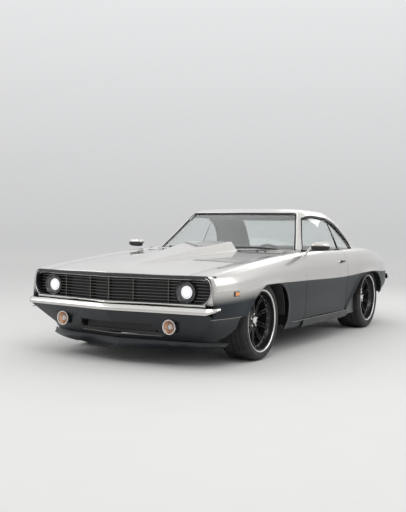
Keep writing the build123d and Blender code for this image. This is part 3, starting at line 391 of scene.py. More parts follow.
def bodyPaint(name, paintedReflection):
    # metallic silver under clear coat: a flake noise shifts colour and roughness; an attribute brings in a near-black
    # painted reflection of the dark, shaded ground below the crease
    mat, tree, shader = startFinish(name, paint["silver"], paint["silverRough"], 0.75, paint["coat"],
                                    paint["coatRough"])
    flake = noise(tree, paint["flake"], 1.0)
    wide = noise(tree, 2.5, 3.0)
    silver = paint["silver"]
    fine = blendColour(tree, flake, tuple(c * 0.90 for c in silver), tuple(c * 1.08 for c in silver))
    colour = blendColour(tree, mapRange(tree, wide, 0.35, 0.65, 0.0, 0.35), fine, tuple(c * 0.90 for c in silver))
    if paintedReflection:
        # painted reflection: near-black colour, more metal, rougher and almost no coat, so the dark ground's
        # reflection is painted in and the floor's real reflection is kept out
        lower = addNode(tree, "Attribute", set_attribute_name="lower").outputs["Fac"]
        grey = blendColour(tree, flake, tuple(c * 0.85 for c in paint["groundReflection"]),
                           tuple(c * 1.2 for c in paint["groundReflection"]))
        colour = blendColour(tree, lower, colour, grey)
        feed(shader, Metallic=mapRange(tree, lower, 0.0, 1.0, 0.75, 0.95),
             Coat_Weight=mapRange(tree, lower, 0.0, 1.0, paint["coat"], 0.06))
        rough = mapRange(tree, lower, 0.0, 1.0, paint["silverRough"], 0.42)
    else:
        rough = mapRange(tree, flake, 0.3, 0.7, paint["silverRough"] * 0.92, paint["silverRough"] * 1.08)
    feed(shader, Base_Color=colour, Roughness=rough)
    addBump(tree, shader, noise(tree, 160.0, 2.0), 0.02, 0.0004)
    return mat


def glassFinish(name, colour, ior=1.45):
    # clear glass: full transmission, faint dust in the roughness
    mat, tree, shader = startFinish(name, colour, 0.0, 0.0)
    shader.inputs["Transmission Weight"].default_value = 1.0
    shader.inputs["IOR"].default_value = ior
    feed(shader, Roughness=mapRange(tree, noise(tree, 8.0, 5.0), 0.45, 0.75, 0.0, 0.025),
         Base_Color=blendColour(tree, noise(tree, 3.0), tuple(c * 0.97 for c in colour), colour))
    return mat


# silver body paint with the ground's reflection painted near-black below the crease; the plain one has none
silverWithPaintedReflection = bodyPaint("SilverWithPaintedReflection", True)
silverPlain = bodyPaint("SilverPaint", False)
bladeSilver = plainFinish("BumperSilver", (0.66, 0.65, 0.62), 0.16, 1.0, 0.4, grain=(400.0, 0.02, 0.0002),
                          mottle=(5.0, 0.05))
brightTrim = plainFinish("BrightTrim", (0.78, 0.77, 0.75), 0.14, 1.0, grain=(700.0, 0.03, 0.0002), mottle=(9.0, 0.05))
satinBlack = plainFinish("SatinBlack", (0.012, 0.014, 0.017), 0.34, 0.0, 0.35, grain=(700.0, 0.08, 0.0003),
                         mottle=(4.0, 0.2), coatRough=0.2)
moulded = plainFinish("MouldedBlack", (0.016, 0.016, 0.017), 0.55, grain=(1100.0, 0.35, 0.0004), mottle=(7.0, 0.2))
rubber = plainFinish("SealRubber", (0.011, 0.011, 0.011), 0.6, grain=(600.0, 0.2, 0.0004), mottle=(12.0, 0.25))
chassis = plainFinish("ChassisBlack", (0.022, 0.022, 0.023), 0.5, grain=(220.0, 0.35, 0.0008), mottle=(5.0, 0.35))
steel = plainFinish("BareSteel", (0.42, 0.41, 0.40), 0.38, 1.0, grain=(300.0, 0.2, 0.0004), mottle=(9.0, 0.25))
windowGlass = glassFinish("WindowGlass", (0.93, 0.97, 0.96), ior=1.9)
lampGlass = glassFinish("LampGlass", (0.97, 0.97, 0.97))
print("finishes ready")

# body side: one surface for fender, door and quarter
# in from the widest point, then up from the belt (edge, shoulder) or the ground (crease, skirt, foot), per row
frontRows = [
    (-0.793, 0.267, -0.128, 0.122, -0.131, 0.072, 0.591, 0.070, 0.454, 0.086, 0.392),
    (-0.568, 0.256, -0.100, 0.102, -0.106, 0.025, 0.600, 0.028, 0.440, 0.040, 0.360),
    (-0.268, 0.244, -0.071, 0.094, -0.076, 0.005, 0.612, 0.012, 0.400, 0.040, 0.260),
    (0.000, 0.236, -0.049, 0.090, -0.052, 0.000, 0.620, 0.010, 0.360, 0.040, 0.215),
    (0.282, 0.228, -0.030, 0.088, -0.031, 0.000, 0.620, 0.015, 0.320, 0.050, 0.205),
    (0.532, 0.222, -0.016, 0.085, -0.015, 0.002, 0.617, 0.028, 0.280, 0.066, 0.203),
    (0.829, 0.216, -0.002, 0.082, 0.000, 0.004, 0.615, 0.034, 0.275, 0.070, 0.200),
]
rearRows = [
    (-0.828, 0.195, 0.000, 0.082, -0.001, 0.004, 0.613, 0.033, 0.300, 0.036, 0.265),
    (-0.411, 0.195, 0.000, 0.080, -0.001, 0.000, 0.630, 0.025, 0.300, 0.045, 0.265),
    (-0.211, 0.200, 0.000, 0.084, -0.002, 0.000, 0.638, 0.018, 0.320, 0.045, 0.280),
    (-0.021, 0.268, -0.001, 0.094, -0.007, 0.000, 0.640, 0.014, 0.350, 0.045, 0.310),
    (0.144, 0.276, -0.003, 0.112, -0.019, 0.006, 0.634, 0.016, 0.370, 0.045, 0.345),
    (0.289, 0.284, -0.012, 0.140, -0.034, 0.018, 0.626, 0.022, 0.400, 0.045, 0.372),
    (0.589, 0.308, -0.032, 0.187, -0.060, 0.055, 0.618, 0.062, 0.450, 0.090, 0.410),
    (0.889, 0.340, -0.054, 0.262, -0.078, 0.135, 0.618, 0.140, 0.480, 0.160, 0.435),
    (0.979, 0.352, -0.062, 0.290, -0.088, 0.170, 0.620, 0.172, 0.490, 0.190, 0.440),
]
sideRows = np.array(
    [(row[0] + car["frontAxleY"],) + row[1:] for row in frontRows]
    + [(row[0] + car["rearAxleY"],) + row[1:] for row in rearRows])
bodySide = {
    "skin": 0.010, "frontRoll": 0.022, "frontLip": 0.012, "frontFlare": 0.005, "rearFlare": 0.011,
    "flareWidth": 0.030,
    "tuck": 0.007, "creaseStep": 0.002, "jambX": 0.792,
}
# wheel openings: distance from the axle and height
frontArch = [
    (-0.640, 0.120), (-0.559, 0.226), (-0.455, 0.292), (-0.364, 0.372), (-0.271, 0.471), (-0.150, 0.563),
    (-0.055, 0.602), (0.060, 0.612), (0.250, 0.606), (0.325, 0.578), (0.380, 0.527), (0.418, 0.450),
    (0.428, 0.360), (0.430, 0.120)]
rearArch = [
    (-0.900, 0.120), (-0.747, 0.326), (-0.655, 0.405), (-0.484, 0.544), (-0.360, 0.600), (-0.256, 0.625),
    (-0.041, 0.632), (0.110, 0.618), (0.215, 0.578), (0.278, 0.500), (0.296, 0.400), (0.340, 0.368),
    (0.360, 0.120)]
archF = smoothLine(np.array(frontArch) + (car["frontAxleY"], 0), 160)
archR = smoothLine(np.array(rearArch) + (car["rearAxleY"], 0), 160)


def beltAt(y):
    # the belt line's height: a straight line that rises backwards
    return car["beltZ"] + car["beltRise"] * (np.asarray(y, float) - car["doorFrontY"])


def sideSection(y):
    # the five body lines at Y and a point between shoulder and crease that rounds the side, as (x, z)
    v = alongRows(sideRows, y)
    belt = beltAt(y)[..., None]
    pts = [np.stack([car["halfWidth"] - v[..., 2 * k], v[..., 2 * k + 1] + (belt[..., 0] if k < 2 else 0)], -1)
           for k in range(5)]
    flank = pts[1] + np.array([0.72, 0.42]) * (pts[2] - pts[1])
    return np.stack([pts[0], pts[1], flank, pts[2], pts[3], pts[4]], -2)


def upperSide(y, t):
    # cubic through edge, shoulder, flank and crease, t from 0 to 3; slopes are half the step between neighbours
    s = sideSection(y)
    p = [s[..., k, :] for k in range(4)]
    slopes = [(p[1] - p[0]) * [1, 0.3], (p[2] - p[0]) / 2, (p[3] - p[1]) / 2, p[3] - p[2]]
    i = np.clip(np.floor(t), 0, 2)
    f = (t - i)[..., None]
    i = i[..., None]
    pick = lambda a: np.where(i == 0, a[0], np.where(i == 1, a[1], a[2]))
    return cubic(pick(p), pick(p[1:]), pick(slopes), pick(slopes[1:]), f)


def lowerSide(y, z):
    # how far out the side lies under the crease: two cubic spans by height, less a shallow tuck between the wheels
    s = sideSection(y)
    (xc, zc), (xs, zs), (xf, zf) = [(s[..., k, 0], s[..., k, 1]) for k in (3, 4, 5)]
    high, low = (xc - xs) / (zc - zs), (xs - xf) / np.maximum(zs - zf, 0.02)
    mid = (high + low) / 2
    up = z >= zs
    z0, z1 = np.where(up, zs, zf), np.where(up, zc, np.maximum(zs, zf + 0.02))
    x0, x1 = np.where(up, xs, xf), np.where(up, xc, xs)
    m0, m1 = np.where(up, mid, low), np.where(up, high, mid)
    h = z1 - z0
    f = np.clip((z - z0) / h, -0.5, 1)
    x = cubic(x0, x1, m0 * h, m1 * h, f)
    under = np.maximum(zc - z, 0)
    tuck = bodySide["tuck"] * ease(-1.95, -1.35, y) * (1 - ease(1.6, 2.2, y))
    return x - tuck * (1 - np.exp(-under / 0.018)) * np.exp(-under / 0.14)


def flareOut(points):
    # the metal swells outwards in a bell shape around both wheel openings
    yz = points[..., 1:].reshape(-1, 1, 2)
    for arch, height in ((archF, bodySide["frontFlare"]), (archR, bodySide["rearFlare"])):
        d = np.linalg.norm(yz - arch[arch[:, 1] > 0.2][None], axis=-1).min(1).reshape(points.shape[:-1])
        points[..., 0] += height * np.exp(-(d / bodySide["flareWidth"]) ** 2)
    return points


def reflectionShareOf(points):
    # 0 on silver and 1 on the painted reflection of the dark ground: crisp at the crease, and a soft start lower down
    # towards the nose
    y = points[..., 1]
    zc = sideSection(y)[..., 3, 1]
    nose = 1 - ease(-1.62, -1.45, y)
    return np.clip((zc - points[..., 2] - 0.02 * nose) / (bodySide["creaseStep"] * 0.9 + 0.075 * nose), 0, 1)


def noseShift(x, y):
    # how far the front edge moves back to stand on the pointed nose line, fading out over 0.25 m
    line = car["noseY"] + 0.022 + bodySide["frontRoll"] + car["noseVee"] * x
    return (line - y[:, :1]) * (1 - ease(0.0, 0.25, y - y[:, :1]))


def sidePanel(bottom, tFirst=0.0, upperRows=26, lowerRows=16, frontRoll=False):
    # rows from the top line down to the crease, then down to the bottom path; columns follow the bottom path's length
    yb, zb = bottom[:, 0], bottom[:, 1]
    zc = sideSection(yb)[:, 3, 1]
    room = ease(0.0, 0.16, zc - zb)
    even = np.linspace(yb[0], yb[-1], len(yb))
    yt = yb + room * 0.55 * (even - yb)
    yt[0], yt[-1] = yb[0], yb[-1]
    t = tFirst + (3 - tFirst) * np.linspace(0, 1, upperRows)
    yU = np.broadcast_to(yt, (upperRows, len(yt)))
    tU = np.broadcast_to(t[:, None], yU.shape)
    xz = upperSide(yU, tU)
    if frontRoll:
        yU = yU + noseShift(xz[:, :1, 0], yU)
        xz = upperSide(yU, tU)
    upper = xyz(xz[..., 0], yU, xz[..., 1])
    zc = sideSection(yt)[:, 3, 1]
    first = np.minimum(bodySide["creaseStep"] / np.maximum(zc - zb, 1e-4), 0.3)
    v = first + (1 - first) * np.linspace(0, 1, lowerRows)[:, None] ** 1.15
    yL = yt + v * (yb - yt)
    zL = zc + v * (zb - zc)
    if frontRoll:
        yL = yL + noseShift(lowerSide(yL, zL)[:, :1], yL)
    lower = xyz(lowerSide(yL, zL), yL, zL)
    grid = flareOut(np.concatenate([upper, lower]))
    if frontRoll:
        # the front end turns inwards on a quarter circle
        r = bodySide["frontRoll"]
        start = grid[:, 0]
        normal = unit(np.cross(np.gradient(start, axis=0), [0, 1, 0]))
        normal *= np.sign(normal[len(normal) // 2, 0])
        a = np.linspace(math.pi / 2, 0.15, 8)
        turnIn = (r * (1 - np.cos(a)))[None, :, None]
        roll = start[:, None] + np.array([0, -r, 0]) * np.sin(a)[None, :, None] - normal[:, None] * turnIn
        lip = bodySide["frontLip"]
        inner = roll[:, :1] + np.array([0, lip, 0]) - normal[:, None] * lip
        grid = np.concatenate([inner, roll, grid], axis=1)
    return grid


def stretch(points, step):
    # straight runs with points about a step apart, corners kept
    p = np.asarray(points, float)
    runs = [p[:1]]
    for a, b in zip(p[:-1], p[1:]):
        n = max(1, int(round(np.linalg.norm(b - a) / step)))
        runs.append(a + (b - a) * (np.arange(1, n + 1) / n)[:, None])
    return np.vstack(runs)


def footLine(y0, y1, step=0.03):
    # points along the body's lowest line, as (y, z)
    y = np.linspace(y0, y1, max(2, int(abs(y1 - y0) / step)))
    return np.stack([y, sideSection(y)[:, 5, 1]], -1)


def archRun(arch, frontZ, rearZ):
    # the part of a wheel opening between two heights, front leg to rear leg
    top = int(np.argmax(arch[:, 1]))
    a = int(np.argmax(arch[:, 1] > frontZ))
    b = top + int(np.argmax(arch[top:, 1] < rearZ))
    part = arch[a:b]
    front = [np.interp(frontZ, arch[:top, 1], arch[:top, 0]), frontZ]
    rear = [np.interp(-rearZ, -arch[top:, 1], arch[top:, 0]), rearZ]
    return smoothLine(np.vstack([front, part, rear]), 84)


footBehindFront, footAheadRear, footBehindRear = 0.213, 0.265, 0.3735
archRunF = archRun(archF, car["seamZ"], footBehindFront)
archRunR = archRun(archR, footAheadRear, footBehindRear)
fenderBottom = np.vstack([
    stretch([(-2.169, car["seamZ"]), archRunF[0]], 0.022)[:-1], archRunF,
    footLine(archRunF[-1, 0], car["doorFrontY"])[1:]])
quarterBottom = np.vstack([
    footLine(car["doorRearY"] + car["gap"], archRunR[0, 0], 0.01)[:-1], archRunR,
    footLine(archRunR[-1, 0], 2.290)[1:]])
fenderGrid = sidePanel(fenderBottom, frontRoll=True)
quarterGrid = sidePanel(quarterBottom)


def jambPlate(y, rows=30):
    # upright plate that closes a panel's end towards the door opening
    t = np.linspace(0.9, 3, rows)
    xz = upperSide(np.full(rows, y), t)
    zLow = np.linspace(xz[-1, 1], sideSection(np.array(y))[5, 1], 12)[1:]
    low = np.stack([lowerSide(np.full(11, y), zLow), zLow], -1)
    edge = np.vstack([xz, low])
    outer = np.c_[edge[:, 0] - 0.004, np.full(len(edge), y), edge[:, 1]]
    inner = outer.copy()
    inner[:, 0] = bodySide["jambX"]
    return sheetOf(np.stack([outer, (outer * 2 + inner) / 3, inner], 1))


for side, name, turn in sides:
    for part, grid, y in (("front_fender", fenderGrid, car["doorFrontY"] - 0.0005),
                          ("quarter_panel", quarterGrid, car["doorRearY"] + car["gap"] + 0.0105)):
        v, f = sheetOf(grid)
        # the lower mark sets where the ground's reflection is painted in below the crease
        makePiece(f"{part}_{name}_skin", turn((v, f)), silverWithPaintedReflection,
                  [f"{part}_{name}"], out=(side, 0, 0), thick=bodySide["skin"], bevel=0.0015,
                  marks={"lower": reflectionShareOf(v)})
        makePiece(f"{part}_{name}_jamb", turn(jambPlate(y)), silverPlain,
                  out=(0, 1 if part == "front_fender" else -1, 0), thick=0.010, bevel=0.001)
print("body sides done")

# doors: one closed shell each, outer skin to inner card
door = {
    "footZ": 0.265, "liningX": 0.800, "edge": 0.010, "hingeX": 0.905, "hingeY": -0.690,
    "hingeHeights": (0.467, 0.684),
    "hingeReach": 0.080, "hingeHalf": 0.012, "eye": 0.006, "pin": 0.0038,
}


def doorShell():
    # rings round the door at stations along it: the outer skin, then back up the inner card
    y0, y1 = car["doorFrontY"] + car["gap"], car["doorRearY"]
    depthAt = [(0, 0.0), (0.016, 0.0), (0.045, 0.75), (0.060, 1.0)]
    mid = np.linspace(y0 + 0.06, y1 - 0.06, 22)[1:-1]
    ys = np.r_[[y0 + d for d, _ in depthAt], mid, [y1 - d for d, _ in depthAt[::-1]]]
    depth = np.r_[[k for _, k in depthAt], np.ones(len(mid)), [k for _, k in depthAt[::-1]]]
    t = np.linspace(1, 3, 20)
    up = upperSide(*np.broadcast_arrays(ys, t[:, None]))
    upper = xyz(up[..., 0], ys, up[..., 1])
    zc = sideSection(ys)[:, 3, 1]
    v = np.r_[0.006, np.linspace(0.02, 1, 15)][:, None]
    zL = zc + v * (door["footZ"] - zc)
    lower = xyz(lowerSide(np.broadcast_to(ys, zL.shape), zL), ys, zL)
    outer = np.concatenate([upper, lower])
    upper[0, :, 2] = beltAt(ys)
    z = outer[..., 2]
    x = outer[..., 0] - door["edge"] - depth * np.maximum(outer[..., 0] - door["edge"] - door["liningX"], 0)
    relief = 0.006 * np.sin(np.clip((z - 0.33) / 0.40, 0, 1) * math.pi) * (depth > 0.99)
    inner = xyz(x + relief, ys, z)[::-1]
    inner[0, :, 2] += 0.003
    grid = np.concatenate([outer, inner])
    ends = [np.concatenate([outer[:, k:k + 1], outer[:, k:k + 1] - [door["edge"], 0, 0]], 1) for k in (0, -1)]
    shape = joined(sheetOf(grid, True, False), sheetOf(ends[0]), sheetOf(ends[1]))
    # and the share of painted ground reflection at each point
    return shape, reflectionShareOf(shape[0])


def strapShape():
    # steel arms from the hinge line round the fender's end into the door, an eye on each
    x, y = door["hingeX"], door["hingeY"]
    xi = x - door["hingeReach"]
    path = roundLine([(x, y, 0), (xi, y, 0), (xi, car["doorFrontY"] + 0.072, 0)], 0.012)
    h, w = door["hingeHalf"], 0.005
    bar = swept(path, [(-w, -h), (w, -h), (w, h), (-w, h)])
    eye = spun([(-h, door["pin"]), (h, door["pin"]), (h, door["eye"]), (-h, door["eye"])], (x, y, 0), 2, 20,
               close=True)
    return copies(joined(bar, eye), [(0, 0, z) for z in door["hingeHeights"]])


handle = {"y": 0.345, "z": 0.764, "ahead": 0.062, "behind": 0.045, "bow": 0.014}


def handleShape():
    # a flat paddle: a rounded bar along the door, bowed out by the root of a half sine
    y, z = handle["y"], handle["z"]
    skin = float(upperSide(np.array([[y]]), np.array([[2.2]]))[0, 0, 0]) + 0.004
    ys = np.linspace(y - handle["ahead"], y + handle["behind"], 16)
    f = np.linspace(0, 1, 16)
    path = xyz(skin + handle["bow"] * np.sin(f * math.pi) ** 0.5 + 0.002, ys, z)
    a = circle(14)
    return swept(path, np.c_[0.0055 * np.cos(a), 0.011 * signedPower(np.sin(a), 0.6)])


def lockShape():
    # a low round button behind the handle
    y, z = handle["y"] - 0.085, handle["z"] - 0.004
    skin = float(upperSide(np.array([[y]]), np.array([[2.2]]))[0, 0, 0])
    return spun([(-0.004, 0), (-0.004, 0.010), (0.004, 0.010), (0.0055, 0.008), (0.0055, 0.0)], (skin, y, z), 0, 24)


doorShape, doorReflectionShare = doorShell()
for side, name, turn in sides:
    body = f"{name}_door"
    makePiece(f"door_{name}_shell", turn(doorShape), silverWithPaintedReflection, [f"door_{name}"],
              bevel=0.002, marks={"lower": doorReflectionShare}, body=body)
    makePiece(f"door_{name}_straps", turn(strapShape()), steel, bevel=0.0008, body=body)
    makePiece(f"door_{name}_handle", turn(handleShape()), satinBlack, body=body)
    makePiece(f"door_{name}_lock", turn(lockShape()), brightTrim, sharp=30, body=body)
print("doors done")

# hood
hood = {
    "rearY": -0.741, "noseGap": 0.022, "sheet": 0.016, "crown": 0.014, "crownGain": 0.008, "ridge": 0.010,
    "bulgeEdge": 0.80, "soft": 0.07, "noseRoll": 0.009,
}
bulgeRows = np.array([
    (-0.700, 0.045, 0.0), (-0.568, 0.062, 0.007), (-0.268, 0.112, 0.024), (0.0, 0.160, 0.040), (0.282, 0.212, 0.057),
    (0.532, 0.258, 0.072), (0.691, 0.288, 0.081)])


def softStep(f, soft):
    # 0 to 1 ramp whose two bends are rounded
    g = lambda a: np.sqrt(a * a + soft * soft)
    return np.clip(((g(f) - g(f - 1)) + 1) / 2, 0, 1)


def bulgeAt(y):
    # the raised panel's half width and height at Y, read off its rows
    rows = bulgeRows + [car["frontAxleY"], 0, 0]
    return alongRows(rows, np.clip(y, rows[0, 0], hood["rearY"]))


def hoodZ(x, y):
    # height: edge line + a crown across + a centre ridge that fades from the nose + the raised middle panel
    rowY = np.maximum(y, sideRows[0, 0])
    edge = sideSection(rowY)[..., 0, :]
    ex, ez = edge[..., 0] - car["gap"], edge[..., 1] - 0.12 * np.maximum(0, rowY - y)
    f = np.clip(np.abs(x) / ex, 0, 1)
    crown = hood["crown"] + hood["crownGain"] * np.clip((y - car["noseY"]) / 0.4, 0, 1)
    ridge = hood["ridge"] * (1 - ease(-2.3, -1.55, y))
    bulge = bulgeAt(y)
    base, rise = bulge[..., 0], np.maximum(bulge[..., 1], 0)
    rise = rise * ease(-2.16, -2.02, y)
    side = softStep((base - np.abs(x)) / (base * (1 - hood["bulgeEdge"])), hood["soft"])
    return ez + crown * (1 - f * f) + ridge * (1 - f) ** 1.4 + rise * side


def hoodEdgeX(y):
    # half the hood's width: the fender's top line less the gap
    return sideSection(np.maximum(y, sideRows[0, 0]))[..., 0, 0] - car["gap"]


def hoodShape():
    # columns keep to the raised panel's bends; rows run from the pointed nose line to the rear edge
    def columns(y, n=(8, 12, 20)):
        # x of each column: middle to the raised panel's bend, across its side, then out to the edge
        ex = hoodEdgeX(y)
        base = bulgeAt(y)[..., 0]
        knots = [0 * base, base * (hood["bulgeEdge"] - 0.03), base * 1.04, ex]
        parts = [a[..., None] + (b - a)[..., None] * np.linspace(0, 1, k, endpoint=False)
                 for a, b, k in zip(knots[:-1], knots[1:], n)]
        return np.concatenate(parts + [ex[..., None]], -1)
    rows = 70
    f = np.linspace(0, 1, rows) ** 1.1
    rearY, r = hood["rearY"], hood["noseRoll"]
    guess = columns(np.linspace(-2.33, rearY, rows))
    startY = car["noseY"] + hood["noseGap"] + r
    for _ in range(3):
        front = startY + car["noseVee"] * np.abs(guess)
        y = front + f[:, None] * (rearY - front)
        pick = np.arange(guess.shape[1])[None, :, None]
        guess = np.take_along_axis(columns(y).reshape(rows, guess.shape[1], -1), pick, -1)[..., 0]
    top = xyz(guess, y, hoodZ(guess, y))
    a = np.linspace(0, math.pi / 2, 7)[1:]
    roll = top[:1] + xyz(0, -r * np.sin(a), -r * (1 - np.cos(a)))[:, None]
    skirt = roll[-1:] + np.array([0, 0.003, -0.003])
    return bothSides(sheetOf(np.concatenate([skirt, roll[::-1], top])))


makePiece("hood_skin", hoodShape(), silverPlain, ["hood"], out=(0, 0, 1), thick=hood["sheet"],
          bevel=0.0015, sharp=45, body="hood")
hoodHinge = {"x": 0.655, "y": -0.715, "z": 0.824}


def hoodArm():
    # a flat arm behind each rear corner, with an eye round the hinge pin
    x, y, z = hoodHinge["x"], hoodHinge["y"], hoodHinge["z"]
    path = [(x, y - 0.128, z), (x, y - 0.07, z), (x, y - 0.010, z)]
    bar = swept(path, [(-0.012, -0.008), (0.012, -0.008), (0.012, 0.008), (-0.012, 0.008)])
    eye = spun([(-0.012, 0.0064), (0.012, 0.0064), (0.012, 0.012), (-0.012, 0.012)], (x, y, z), 0, 24, close=True)
    return bothSides(joined(bar, eye))


def hoodFrame():
    # pressed frame under the skin: a closed strip round the edge and two across
    def strip(points, width=0.05):
        # a shallow channel that follows the hood's height
        p = smoothLine(points, 40)
        path = np.c_[p, hoodZ(p[:, 0], p[:, 1]) - 0.0185]
        return swept(path, [(-width / 2, 0), (-width / 3, -0.016), (width / 3, -0.016), (width / 2, 0)])
    side = strip([(0.60, -2.20), (0.60, -1.70), (0.615, -1.2), (0.64, -0.80)])
    across = [strip([(-0.58, y), (-0.30, y), (0, y), (0.30, y), (0.58, y)]) for y in (-2.16, -0.83)]
    return joined(bothSides(side), *across)


makePiece("hood_frame", joined(hoodArm(), hoodFrame()), chassis, bevel=0.001, body="hood")
print("hood done")

# greenhouse: levels from the belt to the roof's middle, each an outline round the cabin
# share of the height, front centre, two corners from the door's front edge, three from the rear axle, rear centre
cabinRows = [
    (0.000, 0.003, (0.170, 0.183), (0.118, 0.553), (0.114, -0.831), (0.135, -0.311), (0.225, -0.021), 0.114),
    (0.357, 0.208, (0.250, 0.338), (0.185, 0.603), (0.178, -0.831), (0.202, -0.381), (0.285, -0.181), -0.076),
    (0.727, 0.408, (0.330, 0.493), (0.268, 0.663), (0.258, -0.861), (0.278, -0.551), (0.340, -0.406), -0.291),
    (0.906, 0.528, (0.375, 0.583), (0.330, 0.703), (0.320, -0.891), (0.340, -0.691), (0.395, -0.571), -0.461),
    (0.974, 0.653, (0.470, 0.703), (0.440, 0.763), (0.430, -0.931), (0.450, -0.771), (0.520, -0.711), -0.591),
    (1.000, 0.803, (0.660, 0.823), (0.640, 0.853), (0.640, -0.951), (0.650, -0.871), (0.700, -0.831), -0.761),
]
cabin = {
    "windscreen": ((0.774, 0.820), (0.581, 1.240)), "rearWindow": ((0.660, 0.820), (0.505, 1.205)),
    "sideTop": [(-0.060, 1.185), (0.010, 1.200), (0.478, 1.198), (0.600, 1.160), (0.750, 1.062), (0.865, 0.945)],
    "sideFront": ((-0.418, 0.840), (-0.060, 1.185)), "sideFoot": (0.900, 0.840),
    "glassInset": 0.009, "glass": 0.005, "wall": 0.024, "divide": 0.486, "paneFoot": 0.874, "sailFoot": 0.8745,
    "middle": np.array([0, 0.45, 0.9]),
}


def cabinLevels():
    # table rows to outline points and heights, with a last row that closes over the roof's middle
    hw, df, ra = car["halfWidth"], car["doorFrontY"], car["rearAxleY"]
    rows, z = [], []
    for share, front, c1, c2, c3, c4, c5, rear in cabinRows:
        pts = [(0, df + front)] + [(hw - dx, df + dy) for dx, dy in (c1, c2)]
        pts += [(hw - dx, ra + dy) for dx, dy in (c3, c4, c5)] + [(0, ra + rear)]
        rows.append(pts)
        z.append(car["cabinZ"] + share * (car["roofZ"] - car["cabinZ"]))
    middle = np.array(rows[-1]) * [0, 0.30] + [0, 0.375 * 0.70]
    rows.append(middle.tolist())
    z.append(car["roofZ"] + 0.004)
    rows, z = np.array(rows), np.array(z)
    d = np.r_[0, np.cumsum(np.hypot(np.diff(rows[:, 2, 0]), np.diff(z)))]
    return rows, z, d


levelPts, levelZ, levelD = cabinLevels()
levelTable = np.c_[levelZ, levelPts.reshape(len(levelZ), -1)]
levelSlope = np.gradient(levelTable, levelD, axis=0)
levelSlope[-1] = (levelTable[-1] - levelTable[-2]) / (levelD[-1] - levelD[-2]) * np.r_[0.0, np.ones(14)]
sideKnots = np.r_[0, np.cumsum(np.hypot(*np.diff(levelPts[0, 1:], axis=0).T))] + 1.0
fineS = np.linspace(0, levelD[-1], 1200)
fineZ = np.maximum.accumulate(hermite(levelD, levelTable, levelSlope, fineS)[:, 0])


def levelOf(z):
    # distance up the greenhouse's flank at a height
    return np.interp(z, fineZ, fineS)


def cabinAt(s, w):
    # s is the distance up the flank; w 0 to 1 is the windscreen's arc, a parabola from the middle to the corner;
    # above 1 a cubic goes through the side corners to the rear middle
    s, w = np.broadcast_arrays(np.asarray(s, float), np.asarray(w, float))
    v = hermite(levelD, levelTable, levelSlope, s)
    p = v[..., 1:].reshape(v.shape[:-1] + (7, 2))
    f = np.clip(w, 0, 1)
    front = np.stack([p[..., 1, 0] * f, p[..., 0, 1] + (p[..., 1, 1] - p[..., 0, 1]) * f ** 2], -1)
    q = p[..., 1:, :]
    slopes = np.gradient(q, sideKnots, axis=-2)
    slopes[..., -1, 1] = 0
    wc = np.clip(w, 1, sideKnots[-1])
    i = np.clip(np.searchsorted(sideKnots, wc, side="right") - 1, 0, 4)
    take = lambda a, k: np.take_along_axis(a, (i + k)[..., None, None], -2)[..., 0, :]
    h = (sideKnots[i + 1] - sideKnots[i])[..., None]
    g = ((wc - sideKnots[i]) / (sideKnots[i + 1] - sideKnots[i]))[..., None]
    around = cubic(take(q, 0), take(q, 1), take(slopes, 0) * h, take(slopes, 1) * h, g)
    xy = np.where((w <= 1)[..., None], front, around)
    return np.stack([xy[..., 0], xy[..., 1], v[..., 0]], -1)


fineW = np.linspace(1, sideKnots[-1], 500)


def wAtY(s, y):
    # place along the side where the outline reaches Y, level by level
    ring = cabinAt(np.asarray(s)[:, None], fineW[None, :])
    return np.array([np.interp(yy, np.maximum.accumulate(r[:, 1]), fineW) for yy, r in zip(y, ring)])


def wAtX(s, x):
    # place along the rear where the outline comes in to X, level by level
    half = fineW > sideKnots[3]
    ring = cabinAt(np.asarray(s)[:, None], fineW[None, half])
    return np.array([np.interp(-xx, -np.minimum.accumulate(r[:, 0]), fineW[half]) for xx, r in zip(x, ring)])


def screenX(z, key):
    # a screen's half width at a height: a straight line between its two given corners
    (x0, z0), (x1, z1) = cabin[key]
    return x0 + (x1 - x0) * (z - z0) / (z1 - z0)


def screenW(z):
    # the same half width as a share of the front arc's
    s = levelOf(z)
    corner = cabinAt(s, np.ones_like(s))[..., 0]
    return screenX(z, "windscreen") / corner


def sideFrontY(z):
    # the side window's front edge at a height, a straight line
    (y0, z0), (y1, z1) = cabin["sideFront"]
    return y0 + (y1 - y0) * (z - z0) / (z1 - z0)


sideTopPts = np.array(cabin["sideTop"])
sideRearPts = np.vstack([sideTopPts[2:], cabin["sideFoot"]])
sideRearLine = smoothLine(sideRearPts, 60)


def sideRearY(z):
    # the side window's rear edge at a height, read off its curve
    return np.interp(-z, -sideRearLine[:, 1], sideRearLine[:, 0])


